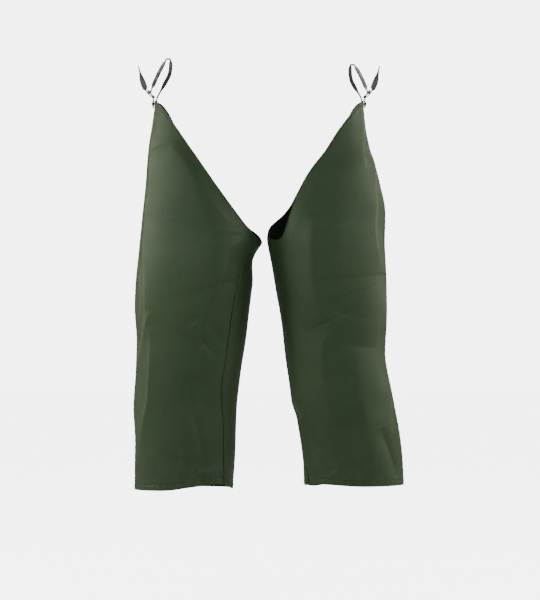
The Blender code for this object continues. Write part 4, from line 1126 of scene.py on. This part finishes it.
def make_prong(leg, buckle):
    """Bent wire: an open eye round the heel bar, then a needle that thins towards its tip."""
    wire = 0.0011
    eye_wire = 0.0008
    eye = BAR_RADIUS + RUNNING_GAP + eye_wire
    rest = BAR_RADIUS + RUNNING_GAP + ROLLER_WALL + RUNNING_GAP + wire
    tip = BUCKLE_LENGTH + 0.0056
    turns = np.linspace(math.radians(-35), math.radians(-282), 40)
    loop = np.stack([eye * np.cos(turns), eye * np.sin(turns)], -1)
    reach = np.linspace(0.0, 1.0, 40)[1:, None]
    start = loop[-1]
    knee = np.array([0.0072, rest])
    first = start + (knee - start) * reach[:20] / reach[19]
    needle = knee + (np.array([tip, rest - 0.0002]) - knee) * reach
    path = softened(resampled(np.concatenate([loop, first, needle]), 0.0004), 8)
    along = unit(np.gradient(path, axis=0))
    left = np.linalg.norm(path - path[-1], axis=1)
    thin = 0.45 + 0.55 * np.sqrt(np.clip(left / 0.0055, 0.0, 1.0))
    from_eye = np.hypot(path[:, 0], path[:, 1])
    thin = thin * (eye_wire / wire + (1.0 - eye_wire / wire) * ease(from_eye, eye, 2.2 * eye))
    turn = (np.arange(16) + 0.5) * 2 * np.pi / 16
    up = wire * thin[:, None] * np.sin(turn)
    x = path[:, :1] - along[:, 1:] * up
    z = path[:, 1:] + along[:, :1] * up
    y = 1.15 * wire * thin[:, None] * np.cos(turn)
    shape = tube(buckle.world(np.stack([x, y, z], -1)))
    make_piece(f"{leg.name}_prong_wire", shape, FINISHES["buckle"], f"{leg.name}_prong",
               [f"{leg.name}_buckle_prong"])


def turned_outwards(leg, profile, start, rivet_z, steps=40):
    """A (radius, out) profile turned about the rivet's own line, from a distance out."""
    turn = (np.arange(steps) + 0.5) * 2 * np.pi / steps
    radius, out = np.array(profile).T
    y = radius[:, None] * np.cos(turn)
    up = rivet_z + radius[:, None] * np.sin(turn)
    return to_world(leg, np.stack([np.broadcast_to(start + out[:, None], y.shape), y, up], -1))


def make_rivet(leg, places):
    """Domed cap on the tab, a shaft through all the layers, and a flat burr under the shaft's peened end."""
    rivet_z = HIP_POINT_Z - RIVET_DROP
    cap = places["tab_outer"] + TAB_THICKNESS / 2 + RUNNING_GAP
    shaft_end = places["burr"] - BURR_THICKNESS - RUNNING_GAP
    turns = np.linspace(0.06, np.pi / 2, 14)
    dome = [(0.0045 * math.sin(t) ** 0.9, 0.0004 + 0.0014 * math.cos(t)) for t in turns]
    rim = [(0.00455, 0.0002), (0.0044, 0.0), (0.0026, 0.0), (0.0020, -0.0004)]
    depth = shaft_end - cap
    end = [(0.0020, depth + 0.0006), (0.0018, depth + 0.0001), (0.0012, depth), (0.0004, depth)]
    profile = dome + rim + end
    make_piece(f"{leg.name}_rivet_cap", tube(turned_outwards(leg, profile, cap, rivet_z)), FINISHES["rivet"],
               "belt_straps", [f"{leg.name}_hip_rivet"])
    wide, hole, bevel = 0.0042, 0.0023, 0.0002
    burr = [(wide, -bevel), (wide - bevel, 0.0), (hole + bevel, 0.0), (hole, -bevel),
            (hole, bevel - BURR_THICKNESS), (hole + bevel, -BURR_THICKNESS),
            (wide - bevel, -BURR_THICKNESS), (wide, bevel - BURR_THICKNESS)]
    rings = turned_outwards(leg, burr, places["burr"], rivet_z)
    make_piece(f"{leg.name}_burr_washer", tube(rings, closed=True), FINISHES["rivet"], "belt_straps",
               [f"{leg.name}_rivet_burr"])


def make_leg(name):
    leg = Leg(name)
    make_cloth(leg)
    make_leg_stitching(leg)
    places = hip_stack(leg)
    buckle = Buckle(leg)
    make_strap(leg, places, buckle)
    make_tab(leg, places, buckle)
    make_frame(leg, buckle)
    make_roller(leg, buckle)
    make_prong(leg, buckle)
    make_rivet(leg, places)


for leg_name in LEGS:
    make_leg(leg_name)

# Floor and light ---------------------------------------------------------------------------------

FLOOR_Z = -1.10
FLOOR_REACH = 12.0
FLOOR_GLOW = 5.2
BACKGROUND = 5.6
SOFT_LIGHT = 0.20
WARM = (1.0, 0.96, 0.84)


def make_floor():
    """Wide pale floor. It glows for the camera alone, so that it looks white but lights nothing."""
    far = np.linspace(-1.0, 1.0, 9)
    x, y = np.meshgrid(FLOOR_REACH * far, FLOOR_REACH * far)
    grid = np.stack([x, y, FLOOR_Z + 0.0 * x], -1)
    paper = Finish("studio_paper", roughness=0.9)
    shade = paper.mixed(paper.noise(paper.object_place(), 3.0), rgb(0.60, 0.60, 0.60), rgb(0.63, 0.63, 0.63))
    paper.colour(shade)
    glow = paper.maths("MULTIPLY", paper.node("LightPath", output="Is Camera Ray"), FLOOR_GLOW)
    paper.tree.links.new(glow, paper.shader.inputs["Emission Strength"])
    paper.shader.inputs["Emission Color"].default_value = rgb(1.0, 1.0, 1.0)
    mesh = bpy.data.meshes.new("floor")
    mesh.from_pydata(grid.reshape(-1, 3).tolist(), [], grid_faces(9, 9).tolist())
    mesh.materials.append(paper.material)
    floor = bpy.data.objects.new("floor", mesh)
    bpy.context.scene.collection.objects.link(floor)


def make_light(name, place, target, size, power, colour=(1.0, 1.0, 1.0)):
    light = bpy.data.lights.new(name, "AREA")
    light.shape = "RECTANGLE"
    light.size, light.size_y = size
    light.energy = power
    light.color = colour
    holder = bpy.data.objects.new(name, light)
    holder.location = place
    way = np.array(target, float) - np.array(place, float)
    yaw = math.atan2(way[1], way[0]) - math.pi / 2
    pitch = math.atan2(math.hypot(way[0], way[1]), -way[2])
    holder.rotation_euler = (pitch, 0.0, yaw)
    holder.visible_camera = False
    bpy.context.scene.collection.objects.link(holder)


def make_world():
    """Soft light from all round, with a white background behind it that only the camera sees."""
    world = bpy.data.worlds.new("studio")
    world.use_nodes = True
    tree = world.node_tree
    path = tree.nodes.new("ShaderNodeLightPath")
    strength = tree.nodes.new("ShaderNodeMapRange")
    strength.inputs["To Min"].default_value = SOFT_LIGHT
    strength.inputs["To Max"].default_value = BACKGROUND
    tree.links.new(path.outputs["Is Camera Ray"], strength.inputs["Value"])
    tree.links.new(strength.outputs["Result"], tree.nodes["Background"].inputs["Strength"])
    shade = tree.nodes.new("ShaderNodeMix")
    shade.data_type = "RGBA"
    shade.inputs[6].default_value = rgb(0.82, 1.0, 0.97)
    shade.inputs[7].default_value = rgb(1.0, 1.0, 1.0)
    tree.links.new(path.outputs["Is Camera Ray"], shade.inputs[0])
    tree.links.new(shade.outputs[2], tree.nodes["Background"].inputs["Color"])
    bpy.context.scene.world = world


make_floor()
make_light("key_left", (-1.35, -0.38, 0.0), (-0.20, 0.0, -0.40), (0.3, 0.7), 9.0, WARM)
make_light("key_right", (1.35, -0.38, 0.0), (0.20, 0.0, -0.40), (0.3, 0.7), 7.0, WARM)
make_light("side_left", (-1.35, 0.30, -0.20), (-0.25, 0.0, -0.55), (0.3, 1.0), 5.0, WARM)
make_light("side_right", (1.35, 0.30, -0.20), (0.25, 0.0, -0.55), (0.3, 1.0), 5.0, WARM)
make_light("front_left", (-0.80, -1.00, -0.22), (-0.17, 0.0, -0.36), (0.4, 0.4), 2.2)
make_light("front_right", (0.80, -1.00, -0.22), (0.17, 0.0, -0.36), (0.4, 0.4), 1.6)
make_light("front_top", (-0.3, -2.2, 0.9), (0.0, 0.0, -0.30), (1.0, 0.6), 2.6)
make_light("rear_left", (-1.2, 2.6, 1.2), (0.0, 0.0, -0.35), (1.0, 1.0), 26.0)
make_light("rear_right", (1.4, 2.4, 0.9), (0.0, 0.0, -0.35), (1.0, 1.0), 18.0)
make_world()
